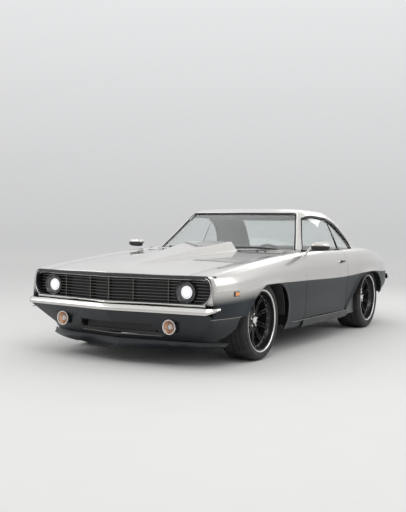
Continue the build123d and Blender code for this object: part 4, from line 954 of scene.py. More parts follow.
def cabinSkin():
    # columns: windscreen head, front pillar, side window head, sail panel, rear window head
    # rows: up from these heads to the roof's middle, and down to the belt on the pillar and the sail only
    nLow, nUp = 22, 22
    counts = (12, 7, 24, 22, 12)
    top = levelD[-1]
    zScreen, zBack = cabin["windscreen"][1][1], cabin["rearWindow"][1][1]
    zFront, zRear = cabin["sideFront"][1][1], cabin["sideTop"][2][1]
    # knee points: where the low rows end and the up rows start, as (s, w)
    sK = levelOf(zScreen)
    wA = float(screenW(np.array([zScreen]))[0])
    kneeScreen = [(sK, w) for w in np.linspace(0, wA, counts[0])]
    wB = float(wAtY([levelOf(zFront)], [sideFrontY(zFront)])[0])
    f = np.linspace(0, 1, counts[1] + 2)[1:-1]
    kneePillar = [(sK + (levelOf(zFront) - sK) * k, wA + (wB - wA) * k) for k in f]
    headLine = smoothLine(sideTopPts[:3], counts[2])
    sHead = levelOf(headLine[:, 1])
    kneeSide = list(zip(sHead, wAtY(sHead, headLine[:, 0])))
    sC, wC = kneeSide[-1]
    sD = levelOf(zBack)
    wD = float(wAtX([sD], [screenX(zBack, "rearWindow")])[0])
    f = np.linspace(0, 1, counts[3] + 2)[1:-1]
    kneeSail = [(sC + (sD - sC) * k, wC + (wD - wC) * k) for k in f]
    kneeBack = [(sD, w) for w in np.linspace(wD, sideKnots[-1], counts[4])]
    knees = np.array(kneeScreen + kneePillar + kneeSide + kneeSail + kneeBack)
    n = len(knees)
    kind = np.repeat([0, 1, 2, 3, 4], counts)
    g = np.linspace(0, 1, nUp)[:, None]
    up = cabinAt(knees[:, 0] + g ** 0.9 * (top - knees[:, 0]), knees[:, 1])
    # low rows, from the belt to the knee, between the exact window edges
    low = np.zeros((nLow, n, 3))
    for name, first, last, zEdgeA, zEdgeB in (("pillar", counts[0] - 1, counts[0] + counts[1], zScreen, zFront),
                                              ("sail", sum(counts[:3]) - 1, sum(counts[:4]), zRear, zBack)):
        k = np.arange(first, last + 1)
        share = np.linspace(0, 1, len(k))
        rise = np.linspace(0, 1, nLow)
        zLow = car["cabinZ"] if name == "pillar" else cabin["sailFoot"]
        zA = zLow + (zEdgeA - zLow) * rise
        zB = zLow + (zEdgeB - zLow) * rise
        if name == "pillar":
            wEdgeA, wEdgeB = screenW(zA), wAtY(levelOf(zB), sideFrontY(zB))
        else:
            wEdgeA, wEdgeB = wAtY(levelOf(zA), sideRearY(zA)), wAtX(levelOf(zB), screenX(zB, "rearWindow"))
        s = levelOf(zA)[:, None] * (1 - share) + levelOf(zB)[:, None] * share
        w = wEdgeA[:, None] * (1 - share) + wEdgeB[:, None] * share
        pts = cabinAt(s, w)
        if name == "sail":
            # the foot spreads out in a hollow curve, so that the pillar grows from the quarter panel
            foot = np.clip(1 - (pts[..., 2] - 0.875) / 0.10, 0, 1) ** 2
            spread = 0.030 * foot * np.sin(np.clip(share, 0.0, 1) * math.pi) ** 0.5
            outward = unit(pts[..., :2] - np.array([0.0, 0.55]))
            pts[..., :2] += outward * spread[..., None]
        low[:, k] = pts
    grid = np.concatenate([low, up[1:]])
    grid[nLow - 1] = up[0]
    v, quads = sheetOf(grid)
    r, c = quads[:, 0] // n, quads[:, 0] % n
    pillar = (kind[c] == 1) | (kind[np.minimum(c + 1, n - 1)] == 1)
    sail = (kind[c] == 3) | (kind[np.minimum(c + 1, n - 1)] == 3)
    keep = (r >= nLow - 1) | pillar | sail
    return v, quads[keep]


makePiece("roof_skin", bothSides(cabinSkin()), silverPlain, ["roof"], out=(0, 0, 1),
          thick=cabin["wall"], bevel=0.002, sharp=50)


def inward(grid, depth):
    # grid sunk towards the cabin: its normals are turned to point away from the cabin's middle first
    du, dv = np.gradient(grid, axis=0), np.gradient(grid, axis=1)
    n = unit(np.cross(du, dv))
    away = grid - cabin["middle"]
    n *= np.sign((n * away).sum(-1).mean())
    return grid - n * depth


def frontGlass():
    # rows up the screen, columns across it, a little wider than the opening, sunk under the frame
    z = np.linspace(cabin["paneFoot"], cabin["windscreen"][1][1] + 0.010, 24)
    w = (screenW(z) + 0.012)[:, None] * np.linspace(-1, 1, 41)[None, :]
    g = cabinAt(levelOf(z)[:, None], np.abs(w))
    g[..., 0] *= np.sign(w + 1e-12)
    return inward(g, cabin["glassInset"])


def backGlass():
    # the same for the rear window, whose columns run from its edge to the middle
    z = np.linspace(0.872, cabin["rearWindow"][1][1] + 0.010, 24)
    s = levelOf(z)
    edge = wAtX(s, screenX(z, "rearWindow") + 0.012)
    f = np.linspace(0, 1, 20)
    g = cabinAt(s[:, None], edge[:, None] + (sideKnots[-1] - edge)[:, None] * f)
    return inward(np.concatenate([g, g[:, -2::-1] * [-1, 1, 1]], 1), cabin["glassInset"])


def sideGlass(part):
    # door pane from the front pillar to the divide, quarter pane from there to the window's rear edge
    if part == "door":
        z = np.linspace(cabin["paneFoot"], 1.206, 26)
        y0, y1 = sideFrontY(z) - 0.006, np.full(26, cabin["divide"] - 0.005)
    else:
        z = np.linspace(cabin["paneFoot"], 1.204, 26)
        y0, y1 = np.full(26, cabin["divide"] + 0.005), sideRearY(np.minimum(z, 1.1975)) + 0.012
        y1 = np.maximum(y1, cabin["divide"] + 0.03)
    s = levelOf(z)
    w0, w1 = wAtY(s, y0), wAtY(s, y1)
    return inward(cabinAt(s[:, None], w0[:, None] + (w1 - w0)[:, None] * np.linspace(0, 1, 22)[None, :]),
                  cabin["glassInset"])


makePiece("windscreen_glass", sheetOf(frontGlass()), windowGlass, ["windscreen"], out=(0, -1, 0.5),
          thick=cabin["glass"])
makePiece("rear_glass", sheetOf(backGlass()), windowGlass, ["rear_window"], out=(0, 1, 0.8),
          thick=cabin["glass"])
for side, name, turn in sides:
    makePiece(f"door_glass_{name}_pane", turn(sheetOf(sideGlass("door"))), windowGlass,
              [f"door_glass_{name}"], out=(side, 0, 0.2), thick=cabin["glass"], body=f"{name}_door")
makePiece("quarter_glass", bothSides(sheetOf(sideGlass("quarter"))), windowGlass,
          ["quarter_windows"], thick=cabin["glass"])


# rubber and bright strips round the glass
def edgeRun(s, w, lift):
    # a line on the greenhouse, raised off it
    s, w = np.asarray(s, float), np.asarray(w, float)
    here, e = cabinAt(s, w), 0.002
    a, b = cabinAt(s + e, w) - here, cabinAt(s, w + e) - here
    n = unit(np.cross(a, b))
    away = here - cabin["middle"]
    n *= np.sign((n * away).sum(-1, keepdims=True))
    return here + n * lift, n


def stripAlong(points, normals, width, high, offset=0.0):
    # flat rounded strip lying on the greenhouse: its width runs square to the path and the surface normal
    ahead = unit(np.gradient(points, axis=0))
    across = unit(np.cross(normals, ahead))
    a = circle(10)
    prof = np.stack([signedPower(np.cos(a), 0.7) * width / 2, signedPower(np.sin(a), 0.7) * high / 2], -1)
    grid = points[:, None] + across[:, None] * (prof[None, :, :1] + offset) + normals[:, None] * prof[None, :, 1:]
    return capped(grid)


def sideOpening(n1=26, n2=30, n3=30):
    # the side window's outline from the front foot over the head to the rear foot, in (s, w)
    z1 = np.linspace(0.878, 1.183, n1)
    s1 = levelOf(z1)
    w1 = wAtY(s1, sideFrontY(z1))
    head = smoothLine(sideTopPts[:3], n2)
    s2 = levelOf(head[:, 1])
    w2 = wAtY(s2, head[:, 0])
    z3 = np.linspace(1.1975, 0.880, n3)[1:]
    s3 = levelOf(z3)
    w3 = wAtY(s3, sideRearY(z3))
    return np.r_[s1, s2, s3], np.r_[w1, w2, w3]


def evened(points, normals, count=70, first=0, last=1):
    # points an even distance apart along a run, each then averaged three times with its neighbours
    d = np.r_[0, np.cumsum(np.linalg.norm(np.diff(points, axis=0), axis=1))]
    at = np.linspace(d[-1] * first, d[-1] * last, count)
    pick = lambda a: np.stack([np.interp(at, d, a[:, k]) for k in range(3)], -1)
    p = pick(points)
    for _ in range(3):
        p[1:-1] = p[1:-1] * 0.5 + (p[:-2] + p[2:]) * 0.25
    return p, unit(pick(normals))


trim = {"drip": (0.008, 0.007), "seal": (0.022, 0.006), "screenTrim": (0.016, 0.006), "screenSeal": (0.014, 0.005)}
s, w = sideOpening()
dripP, dripN = evened(*edgeRun(s, w, 0.003), 110)
makePiece("drip_moulding", bothSides(stripAlong(dripP, dripN, *trim["drip"], offset=0.004)), brightTrim,
          sharp=60)
sealP, sealN = evened(*edgeRun(s, w, 0.000), 110)
makePiece("side_window_seal", bothSides(stripAlong(sealP, sealN, *trim["seal"], offset=-0.009)), rubber,
          sharp=60)
rearP, rearN = evened(*edgeRun(s, w, 0.001), 50, 0.62, 0.985)
makePiece("quarter_weatherstrip", bothSides(stripAlong(rearP, rearN, 0.040, 0.007, offset=-0.020)), rubber,
          sharp=60)


def screenOutline(key, lift):
    # up one side of a screen, over its head and down the other side
    z = np.linspace(0.884, cabin[key][1][1] - 0.002, 24)
    if key == "windscreen":
        side = edgeRun(levelOf(z), screenW(z), lift)
        headW = np.linspace(float(screenW(z[-1:])[0]), 0, 24)[1:]
    else:
        side = edgeRun(levelOf(z), wAtX(levelOf(z), screenX(z, key)), lift)
        headW = np.linspace(float(wAtX(levelOf(z[-1:]), screenX(z[-1:], key))[0]), sideKnots[-1], 24)[1:]
    head = edgeRun(np.full(23, levelOf(z[-1])), headW, lift)
    p, n = np.vstack([side[0], head[0]]), np.vstack([side[1], head[1]])
    p, n = np.vstack([p, p[-2::-1] * [-1, 1, 1]]), np.vstack([n, n[-2::-1] * [-1, 1, 1]])
    return evened(p, n, 120)


for key, name in (("windscreen", "windscreen"), ("rearWindow", "rear_window")):
    p, n = screenOutline(key, 0.002)
    makePiece(f"{name}_trim", stripAlong(p, n, *trim["screenTrim"]), brightTrim, sharp=60)
    p, n = screenOutline(key, -0.002)
    makePiece(f"{name}_seal", stripAlong(p, n, *trim["screenSeal"], offset=0.012), rubber, sharp=60)
print("greenhouse done")

# nose: dark surround, grille, lamps, bumper and lower skirt
nose = {
    "top": 0.692, "foot": 0.490, "half": 0.850, "topHalf": 0.830, "corner": 0.045, "rim": 0.012, "depth": 0.075,
    "face": 0.020, "barFirst": 0.519, "barStep": 0.0232, "bars": 7, "barBack": 0.066, "plateBack": 0.088,
    "posts": (0.0, 0.205, 0.49), "bead": 0.0055,
}
# lamps: each profile is (distance behind the face, radius)
headlamp = {
    "x": 0.633, "y": -2.201, "z": 0.582, "r": 0.084, "glow": 0.85, "dots": 14, "dotRing": 0.0565,
    "bezel": [(0.095, 0.0), (0.095, 0.070), (0.030, 0.078), (0.004, 0.080), (-0.002, 0.0845), (-0.009, 0.0835),
              (-0.011, 0.079), (-0.007, 0.0745), (0.004, 0.0715), (0.014, 0.066), (0.020, 0.060), (0.0215, 0.0530),
              (0.019, 0.0505), (0.019, 0.046), (0.024, 0.0455), (0.026, 0.0)],
    "ring": [(0.016, 0.0475), (0.0125, 0.0500), (0.010, 0.0490), (0.0105, 0.0465), (0.017, 0.0450), (0.020, 0.0475)],
    "lens": [(0.024, 0.0), (0.024, 0.0452), (0.015, 0.0452), (0.006, 0.0390), (0.000, 0.0260), (-0.0025, 0.0130),
             (-0.0035, 0.0)],
    "glass": [(0.002, 0.0), (-0.0005, 0.040), (-0.002, 0.060), (-0.004, 0.0735), (-0.0005, 0.0738), (0.0008, 0.060),
              (0.003, 0.040), (0.0055, 0.0)],
}
fog = {
    "x": 0.510, "y": -2.231, "z": 0.318, "r": 0.057, "flutes": 12, "fluteDeep": 0.0014,
    "body": [(0.090, 0.0), (0.088, 0.044), (0.020, 0.0535), (0.004, 0.0545), (0.004, 0.052), (0.060, 0.034),
             (0.060, 0.0)],
    "ring": [(0.008, 0.0490), (0.008, 0.0560), (0.000, 0.0580), (-0.007, 0.0560), (-0.007, 0.0500), (0.000, 0.0460)],
    "bowl": [(0.040, 0.0), (0.039, 0.011), (0.034, 0.023), (0.026, 0.034), (0.016, 0.043), (0.004, 0.0500)],
    "cap": [(0.040, 0.0), (0.040, 0.019), (0.014, 0.021), (0.008, 0.017), (0.005, 0.0)],
    "glass": [(0.000, 0.0), (0.001, 0.022), (0.004, 0.040), (0.006, 0.0500), (0.003, 0.0500), (0.0, 0.040),
              (-0.003, 0.022), (-0.004, 0.0)],
}


def onNose(x, back):
    # the pointed nose line in plan, some way behind its tip
    return car["noseY"] + back + car["noseVee"] * np.abs(x)


def alongNose(x, back, z):
    # points on that line at a height
    return xyz(x, onNose(x, back), z)


def mirroredLoop(corners, radius, steps, ends):
    # closed outline from its +X half: rounded corners, and even points along the two runs that meet the middle
    half = roundLine(corners, radius, steps)
    half = np.vstack([straightLine(half[:2], ends)[:-1], half[1:-1], straightLine(half[-2:], ends)[1:]])
    return np.vstack([half, half[-2:0:-1] * [-1, 1]])


def noseLoop(shrink, full=0.0):
    # the grille opening's outline, mirrored into one closed loop; full squares its lower corners and widens it
    h, top = nose["half"] - shrink + 0.018 * full, nose["topHalf"] - shrink + 0.022 * full
    z0, z1 = nose["foot"] + shrink, nose["top"] - shrink
    low = 0.046 * (1 - full) + 0.004
    corners = [(0, z0), (h - low, z0), (h, z0 + 0.085), (top, z1), (0, z1)]
    return mirroredLoop(corners, nose["corner"] * (1 - 0.7 * full), 8, 12)


def surroundShape():
    # the opening's outlines one behind another on the nose line; the outer cheeks come back as a shape of their own
    outer, inner, flange = noseLoop(0.0), noseLoop(nose["rim"]), noseLoop(0.0, 1.0)
    rows = []
    # outline, how far behind the face, share of the lift that closes the gaps above and below
    for loop, back, lift in ((flange, 0.075, 1.0), (flange, 0.035, 1.0), (outer, 0.006, 1.0), (outer, 0.0, 0.8),
                             (inner, 0.003, 0.0), (inner, nose["depth"], 0.0)):
        p = alongNose(loop[:, 0], nose["face"] + back, loop[:, 1])
        if lift:
            p[:, 2] += lift * (0.015 * ease(0.62, 0.69, loop[:, 1]) - 0.008 * (1 - ease(0.49, 0.53, loop[:, 1])))
        rows.append(p)
    v, quads = sheetOf(np.stack(rows), False, True)
    middle = v[quads].mean(1)
    cheek = (np.arange(len(quads)) < 2 * len(outer)) & (np.abs(middle[:, 0]) > 0.828) & (middle[:, 2] < 0.672)
    return (v, quads[~cheek]), (v, quads[cheek])


surround, cheeks = surroundShape()
makePiece("nose_surround", surround, satinBlack, ["nose_panel"], thick=0.003, bevel=0.001, sharp=45)
makePiece("nose_cheeks", cheeks, silverPlain, out=(0, -1, 0), thick=0.003, bevel=0.001, sharp=45)


def beadRound(shrink, back, fromX, fromZ, toX, width):
    # thin bright bead on the surround: from a point on its right half up and over to x = toX, mirrored
    loop = noseLoop(shrink)
    part = loop[:len(loop) // 2 + 1]
    part = part[((part[:, 1] > fromZ) | (part[:, 0] > fromX)) & ((part[:, 1] < 0.6) | (part[:, 0] >= toX - 1e-6))]
    part = smoothLine(part, 80)
    path = alongNose(part[:, 0], back, part[:, 1])
    return bothSides(swept(path, oval(width / 2, width / 2), up=(0, 1, 0)))


edgeBead = beadRound(0.002, nose["face"] - 0.001, 0.79, 0.497, 0.79, nose["bead"])
topBead = beadRound(nose["rim"] + 0.003, nose["face"] + 0.020, 9.0, 0.660, 0.0, nose["bead"])
makePiece("nose_bead", joined(edgeBead, topBead), brightTrim, sharp=60)


def shelfShape():
    # bright sill below the grille, its top face open to the sky
    x = np.linspace(0, 0.800, 30)
    profile = ((0.020, 0.4800), (0.016, 0.488), (0.019, 0.4945), (0.080, 0.4985), (0.082, 0.482))
    return sheetOf(acrossMiddle(np.stack([alongNose(x, back, z) for back, z in profile])), True, False)


makePiece("grille_sill", shelfShape(), bladeSilver, bevel=0.001)


def lampChord(z, r):
    # half the chord that a height cuts from a lamp's circle
    return np.sqrt(max(0.0, r * r - (z - headlamp["z"]) ** 2))


def grilleBars():
    # slats along the nose line, cut where the headlamps stand
    prof = np.array([(0.010, -0.0015), (0.010, 0.0015), (-0.0085, 0.0022), (-0.0115, 0.0), (-0.0085, -0.0022)])
    lip = [(-0.001, -0.0022), (0.001, -0.0022), (0.001, 0.0022), (-0.001, 0.0022)]
    parts, edges = [], []
    for k in range(nose["bars"]):
        z = nose["barFirst"] + k * nose["barStep"]
        c = lampChord(z, headlamp["r"] + 0.004)
        xIn = headlamp["x"] - c if c else 0.80
        runs = [np.array([xIn, 0])] + ([np.array([headlamp["x"] + c, 0.826])] if c else [])
        for run in runs:
            x = np.linspace(run[0], run[1], 16)
            path = xyz(x, onNose(x, nose["barBack"]) + 0.010, z)
            if run[1] == 0:
                path = np.vstack([path, path[-2::-1] * [-1, 1, 1]])
            both = asDrawn if run[1] == 0 else bothSides
            parts.append(both(swept(path, prof)))
            edges.append(both(swept(path + [0, -0.0195, 0], lip)))
    return joined(*parts), joined(*edges)


barBlack = plainFinish("GrilleBlack", (0.005, 0.0055, 0.006), 0.45, 0.0, 0.05, grain=(900.0, 0.1, 0.0002),
                       mottle=(8.0, 0.2))
slatEdge = plainFinish("SlatEdge", (0.14, 0.138, 0.132), 0.32, 0.95, grain=(700.0, 0.05, 0.0002), mottle=(9.0, 0.1))
dullBright = plainFinish("DullBright", (0.30, 0.29, 0.27), 0.30, 1.0, grain=(700.0, 0.05, 0.0002), mottle=(9.0, 0.1))
bars, barEdges = grilleBars()
makePiece("grille_bars", bars, barBlack, ["grille"], sharp=40)
makePiece("grille_bar_edges", barEdges, slatEdge, sharp=40)


def backPlate():
    # dark plate behind the slats, with openings where the lamp bodies pass
    x, z = np.meshgrid(np.linspace(-0.83, 0.83, 167), np.linspace(0.492, 0.676, 24))
    v, q = sheetOf(alongNose(x, nose["plateBack"], z))
    middle = v[q].mean(1)
    keep = np.hypot(np.abs(middle[:, 0]) - headlamp["x"], middle[:, 2] - headlamp["z"]) > headlamp["r"] - 0.012
    return v, q[keep]


makePiece("grille_back", backPlate(), barBlack, out=(0, -1, 0), thick=0.005)


def postShape():
    # thin uprights in front of the slats
    parts = []
    for x in nose["posts"]:
        w = 0.0035 if x else 0.005
        yy = onNose(x, nose["barBack"])
        box = roundedBox((x - w, yy - 0.010, 0.492), (x + w, yy + 0.018, 0.674), 0.002, 2)
        parts.append(box if x == 0 else bothSides(box))
    return joined(*parts)


makePiece("grille_posts", postShape(), slatEdge, bevel=0.0005)

gloss = plainFinish("LampBlack", (0.012, 0.012, 0.013), 0.16, 0.0, 0.6, grain=(500.0, 0.04, 0.0002),
                    mottle=(8.0, 0.2))


def lampShape(lamp, part, count, close=False):
    # one of a lamp's profiles turned about its axis, on both sides
    return bothSides(spun(lamp[part], (lamp["x"], lamp["y"], lamp["z"]), 1, count, close=close))


def litLens():
    # bright lens: faint rings by radius from the lamp's own axis, and a soft glow
    mat, tree, shader = startFinish("LitLens", (0.86, 0.89, 0.92), 0.10, 0.0, 1.0)
    coords = tree.nodes.new("ShaderNodeTexCoord").outputs["Object"]
    flat = addNode(tree, "VectorMath", slot_0=coords, slot_1=(1.0, 0.0, 1.0), set_operation="MULTIPLY").outputs[0]
    side = addNode(tree, "VectorMath", slot_0=flat, set_operation="ABSOLUTE").outputs[0]
    centre = (headlamp["x"], 0.0, headlamp["z"])
    away = addNode(tree, "VectorMath", slot_0=side, slot_1=centre, set_operation="DISTANCE").outputs["Value"]
    wave = addNode(tree, "Math", slot_0=away, slot_1=900.0, set_operation="MULTIPLY").outputs[0]
    ring = addNode(tree, "Math", slot_0=wave, set_operation="SINE").outputs[0]
    feed(shader, Base_Color=blendColour(tree, mapRange(tree, ring, -1, 1), (0.62, 0.66, 0.72), (0.92, 0.94, 0.96)),
         Emission_Color=blendColour(tree, mapRange(tree, ring, -1, 1), (0.55, 0.60, 0.68), (1.0, 1.0, 1.0)))
    shader.inputs["Emission Strength"].default_value = headlamp["glow"]
    addBump(tree, shader, ring, 0.2, 0.0006)
    return mat


dot = spun([(0.0, 0.0), (-0.004, 0.0012), (-0.004, 0.0019), (0.0, 0.0022)], (0, 0, 0), 1, 8)
dotAt = oval(headlamp["dotRing"], headlamp["dotRing"], headlamp["dots"]) + [headlamp["x"], headlamp["z"]]
dots = bothSides(copies(dot, xyz(dotAt[:, 0], headlamp["y"] + 0.0208, dotAt[:, 1])))
makePiece("headlamp_bezels", lampShape(headlamp, "bezel", 56), gloss, ["front_lamps"], sharp=40)
makePiece("headlamp_rings", joined(lampShape(headlamp, "ring", 48, True), dots), brightTrim, sharp=40)
makePiece("headlamp_lenses", lampShape(headlamp, "lens", 40), litLens(), sharp=50)
makePiece("headlamp_glass", lampShape(headlamp, "glass", 48), lampGlass, sharp=50)


def fogBowl():
    # reflector: rings of its profile, moved in and out by a cosine that grows with the radius
    a = circle(96)
    back, r = np.array(fog["bowl"])[:, :, None].transpose(1, 0, 2)
    wave = fog["fluteDeep"] * np.cos(a * fog["flutes"]) * (r / 0.050)
    return bothSides(sheetOf(xyz(fog["x"] + np.cos(a) * r, fog["y"] + back + wave, fog["z"] + np.sin(a) * r), False,
                             True))


amber = plainFinish("AmberReflector", (0.74, 0.40, 0.22), 0.16, 0.95, 0.3, grain=(300.0, 0.05, 0.0003),
                    mottle=(30.0, 0.25))
fogLens = plainFinish("FogBulbCap", (0.92, 0.90, 0.86), 0.20, 0.2, 0.5, grain=(300.0, 0.05, 0.0003),
                      mottle=(40.0, 0.1))
makePiece("foglamp_bodies", lampShape(fog, "body", 44), gloss, sharp=40)
makePiece("foglamp_rings", lampShape(fog, "ring", 48, True), brightTrim, sharp=60)
makePiece("foglamp_bowls", fogBowl(), amber, out=(0, -1, 0), thick=0.001)
makePiece("foglamp_caps", lampShape(fog, "cap", 28), fogLens, sharp=50)
makePiece("foglamp_glass", lampShape(fog, "glass", 44), lampGlass, sharp=50)

# side markers
marker = {"y": -1.940, "z": 0.570}
markerX = float(upperSide(np.array([marker["y"]]), np.array([2.9]))[0, 0])


def onSide(shape):
    # a shape drawn flat, stood up on the fender's side
    v, f = shape
    return xyz(markerX - 0.002 + v[:, 2], marker["y"] + v[:, 0], marker["z"] + v[:, 1]), f


markerFrame = onSide(roundedBox((-0.037, -0.020, 0), (0.037, 0.020, 0.007), 0.005, 3))
markerLens = onSide(roundedBox((-0.029, -0.0125, 0), (0.029, 0.0125, 0.0105), 0.004, 3))
makePiece("marker_frames", bothSides(markerFrame), gloss, bevel=0.0008)
amberLens = plainFinish("AmberLens", (0.85, 0.28, 0.03), 0.12, 0.0, 1.0, grain=(90.0, 0.35, 0.0006),
                        mottle=(60.0, 0.25))
makePiece("marker_lenses", bothSides(markerLens), amberLens, bevel=0.0008)

# bumpers: a path in plan, from a mirrored first point to the end, and a section of (in, up) points
frontBumper = {
    "path": [(-0.35, 0.0425), (0, 0), (0.35, 0.0425), (0.70, 0.0855), (0.790, 0.0970), (0.836, 0.1050),
             (0.868, 0.1240), (0.892, 0.1600), (0.906, 0.2050)],
    "section": [(-0.001, -0.0235), (0.0015, -0.012), (-0.003, -0.003), (0.002, 0.001), (0.012, 0.0225),
                (0.024, 0.0245), (0.026, 0.018), (0.014, 0.000), (0.014, -0.020), (0.010, -0.0245)],
    "z": 0.4745, "hold": 0.0245, "off": 0.0015, "thinX": [0.0, 0.835, 0.885, 0.906], "thin": [1, 1, 0.60, 0.28],
    "bracket": ((0.370, -2.300, 0.432), (0.410, -2.148, 0.4745)),
}


def halfPath(points, count):
    # the +X half of a smooth path, and the direction square to it: (-dy, dx) over its length
    half = smoothLine(points, count)
    half = half[half[:, 0] >= -1e-6]
    half[0, 0] = 0
    ahead = np.gradient(half, axis=0)
    square = unit(np.stack([-ahead[:, 1], ahead[:, 0]], -1))
    square[0] = (0, 1)
    return half, square


def blade(bumper, half, square, grow):
    # the section along the path, its size at each step times grow; hold is the height that stays level
    section = np.array(bumper["section"])
    xy = half[:, None] + square[:, None] * (section[:, :1] * grow[:, None, None] + bumper["off"])
    grid = xyz(xy[..., 0], xy[..., 1], bumper["z"] + (section[:, 1] - bumper["hold"]) * grow[:, None])
    return capped(np.concatenate([grid[:0:-1] * [-1, 1, 1], grid]))


half, square = halfPath(frontBumper["path"], 120)
thin = np.interp(half[:, 0], frontBumper["thinX"], frontBumper["thin"])
frontBlade = blade(frontBumper, half + [0, car["noseY"]], square, thin)
brackets = bothSides(roundedBox(*frontBumper["bracket"], 0.004, 2))
makePiece("front_bumper_blade", frontBlade, bladeSilver, ["front_bumper"], bevel=0.0006, sharp=32)
makePiece("front_bumper_brackets", brackets, chassis, bevel=0.001)

# lower skirt: a ruled surface between two wrapped lines, raked back below the bumper
skirt = {"foot": 0.192, "top": 0.421, "belly": 0.006, "seam": 0.388, "last": 0.419, "overFrom": 0.389, "overX": 0.845}
skirtLow = np.array([(0, 0.208), (0.280, 0.257), (0.560, 0.305), (0.680, 0.340), (0.750, 0.375), (0.805, 0.412),
                     (0.860, 0.455)])
skirtHigh = np.array([(0, 0.024), (0.400, 0.080), (0.780, 0.124), (0.856, 0.140), (0.882, 0.242), (0.904, 0.402),
                      (0.916, 0.532)])
chinLow = np.array([(0, 0.157), (0.300, 0.207), (0.440, 0.232), (0.640, 0.290), (0.725, 0.336), (0.790, 0.374),
                    (0.828, 0.398)])
chinHigh = np.array([(0, 0.201), (0.280, 0.250), (0.560, 0.298), (0.680, 0.334), (0.750, 0.370), (0.805, 0.406),
                     (0.845, 0.434)])
# where the skirt ends ahead of the wheel, and the chin's lowest line, as (height, Y) and (X, height)
skirtEnd = np.array([(0.19, -1.992), (0.213, -1.975), (0.253, -1.925), (0.36, -1.826), (0.42, -1.775)])
chinFoot = np.array([(0, 0.1185), (0.21, 0.122), (0.42, 0.1335), (0.44, 0.128), (0.76, 0.149), (0.84, 0.157)])


def alongWrap(line, u):
    # a point on a wrapped line, as (x, y): u from 0 in the middle to 1 at the end
    points = smoothLine(line, 200)
    return np.stack([np.interp(np.abs(u), np.linspace(0, 1, 200), points[:, i]) for i in (0, 1)], -1)


def wrapAt(u, z):
    # a point on the skirt, ruled between the two lines, with a slight belly
    f = ((z - skirt["foot"]) / (skirt["top"] - skirt["foot"]))[..., None]
    xy = alongWrap(skirtLow, u) * (1 - f) + alongWrap(skirtHigh, u) * f
    bulge = skirt["belly"] * np.sin(np.clip(f[..., 0], 0, 1) * math.pi)
    return xyz(xy[..., 0] * np.sign(u + 1e-12), xy[..., 1] + car["noseY"] - bulge, z)


def skirtY(x, z):
    # the skirt's face at a point across and up: straight between its two lines, less the belly
    f = (z - skirt["foot"]) / (skirt["top"] - skirt["foot"])
    a, b = [np.interp(np.abs(x), *smoothLine(line, 200).T) for line in (skirtLow, skirtHigh)]
    return car["noseY"] + a * (1 - f) + b * f - skirt["belly"] * np.sin(np.clip(f, 0, 1) * math.pi)


mouth = {"top": 0.330, "foot": 0.230, "halfTop": 0.335, "halfFoot": 0.388, "lip": 0.380}


def mouthHalf(z):
    # half the mouth's width at a height, a straight line
    return np.interp(z, [mouth["foot"], mouth["top"]], [mouth["halfFoot"], mouth["halfTop"]])


def skirtShape():
    # columns from end to end; rows from foot to top; quads inside the mouth and behind the arch line are left out
    stops = ((skirt["foot"], mouth["foot"], 6), (mouth["foot"], mouth["top"], 14), (mouth["top"], skirt["seam"], 7),
             (skirt["seam"], skirt["last"], 4))
    u, z = np.meshgrid(np.linspace(-1, 1, 221), np.unique(np.concatenate([np.linspace(*stop) for stop in stops])))
    g = wrapAt(u, z)
    # rows that bound the mouth follow its slanted ends
    half = mouthHalf(z)
    inBand = (z >= mouth["foot"] - 1e-6) & (z <= mouth["top"] + 1e-6)
    snap = inBand & (np.abs(np.abs(g[..., 0]) - half) < np.abs(np.gradient(g[..., 0], axis=1)) * 0.5)
    g[..., 0] = np.where(snap, np.sign(g[..., 0]) * half, g[..., 0])
    v, q = sheetOf(g)
    m = v[q].mean(1)
    inMouth = (m[:, 2] > mouth["foot"]) & (m[:, 2] < mouth["top"]) & (np.abs(m[:, 0]) < mouthHalf(m[:, 2]))
    behind = m[:, 1] > np.interp(m[:, 2], *skirtEnd.T)
    aboveSeam = (m[:, 2] > skirt["overFrom"]) & (np.abs(m[:, 0]) > skirt["overX"])
    atLamp = np.hypot(np.abs(m[:, 0]) - fog["x"], m[:, 2] - fog["z"]) < fog["r"] - 0.006
    return v, q[~(inMouth | behind | aboveSeam | atLamp)]


skirtPaint = plainFinish("SkirtBlack", (0.009, 0.012, 0.015), 0.42, 0.0, 0.12, grain=(500.0, 0.04, 0.0003),
                         mottle=(3.0, 0.15), coatRough=0.2)
makePiece("front_skirt", skirtShape(), skirtPaint, ["front_valance"], out=(0, -1, 0), thick=0.008,
          bevel=0.0012)


def mouthLiner():
    # the mouth's inner wall: its outline carried back
    corners = [(0, mouth["foot"]), (mouth["halfFoot"], mouth["foot"]), (mouth["halfTop"], mouth["top"]),
               (0, mouth["top"])]
    loop = mirroredLoop(corners, 0.006, 3, 14)
    y = skirtY(loop[:, 0], loop[:, 1])
    rows = [xyz(loop[:, 0] * shrink, np.minimum(y + back, np.maximum(y + back * 0.3, -2.165)), loop[:, 1])
            for back, shrink in ((0.0, 1.0), (0.010, 1.0), (0.060, 0.985))]
    return sheetOf(np.stack(rows), False, True)


makePiece("mouth_liner", mouthLiner(), satinBlack, thick=0.003, bevel=0.0008)
lipX, lipZ = np.linspace(-mouth["lip"], mouth["lip"], 61), np.full(61, mouth["foot"])
makePiece("mouth_lip", swept(np.c_[lipX, skirtY(lipX, lipZ) - 0.001, lipZ], oval(0.003, 0.0035)), dullBright,
          sharp=60)


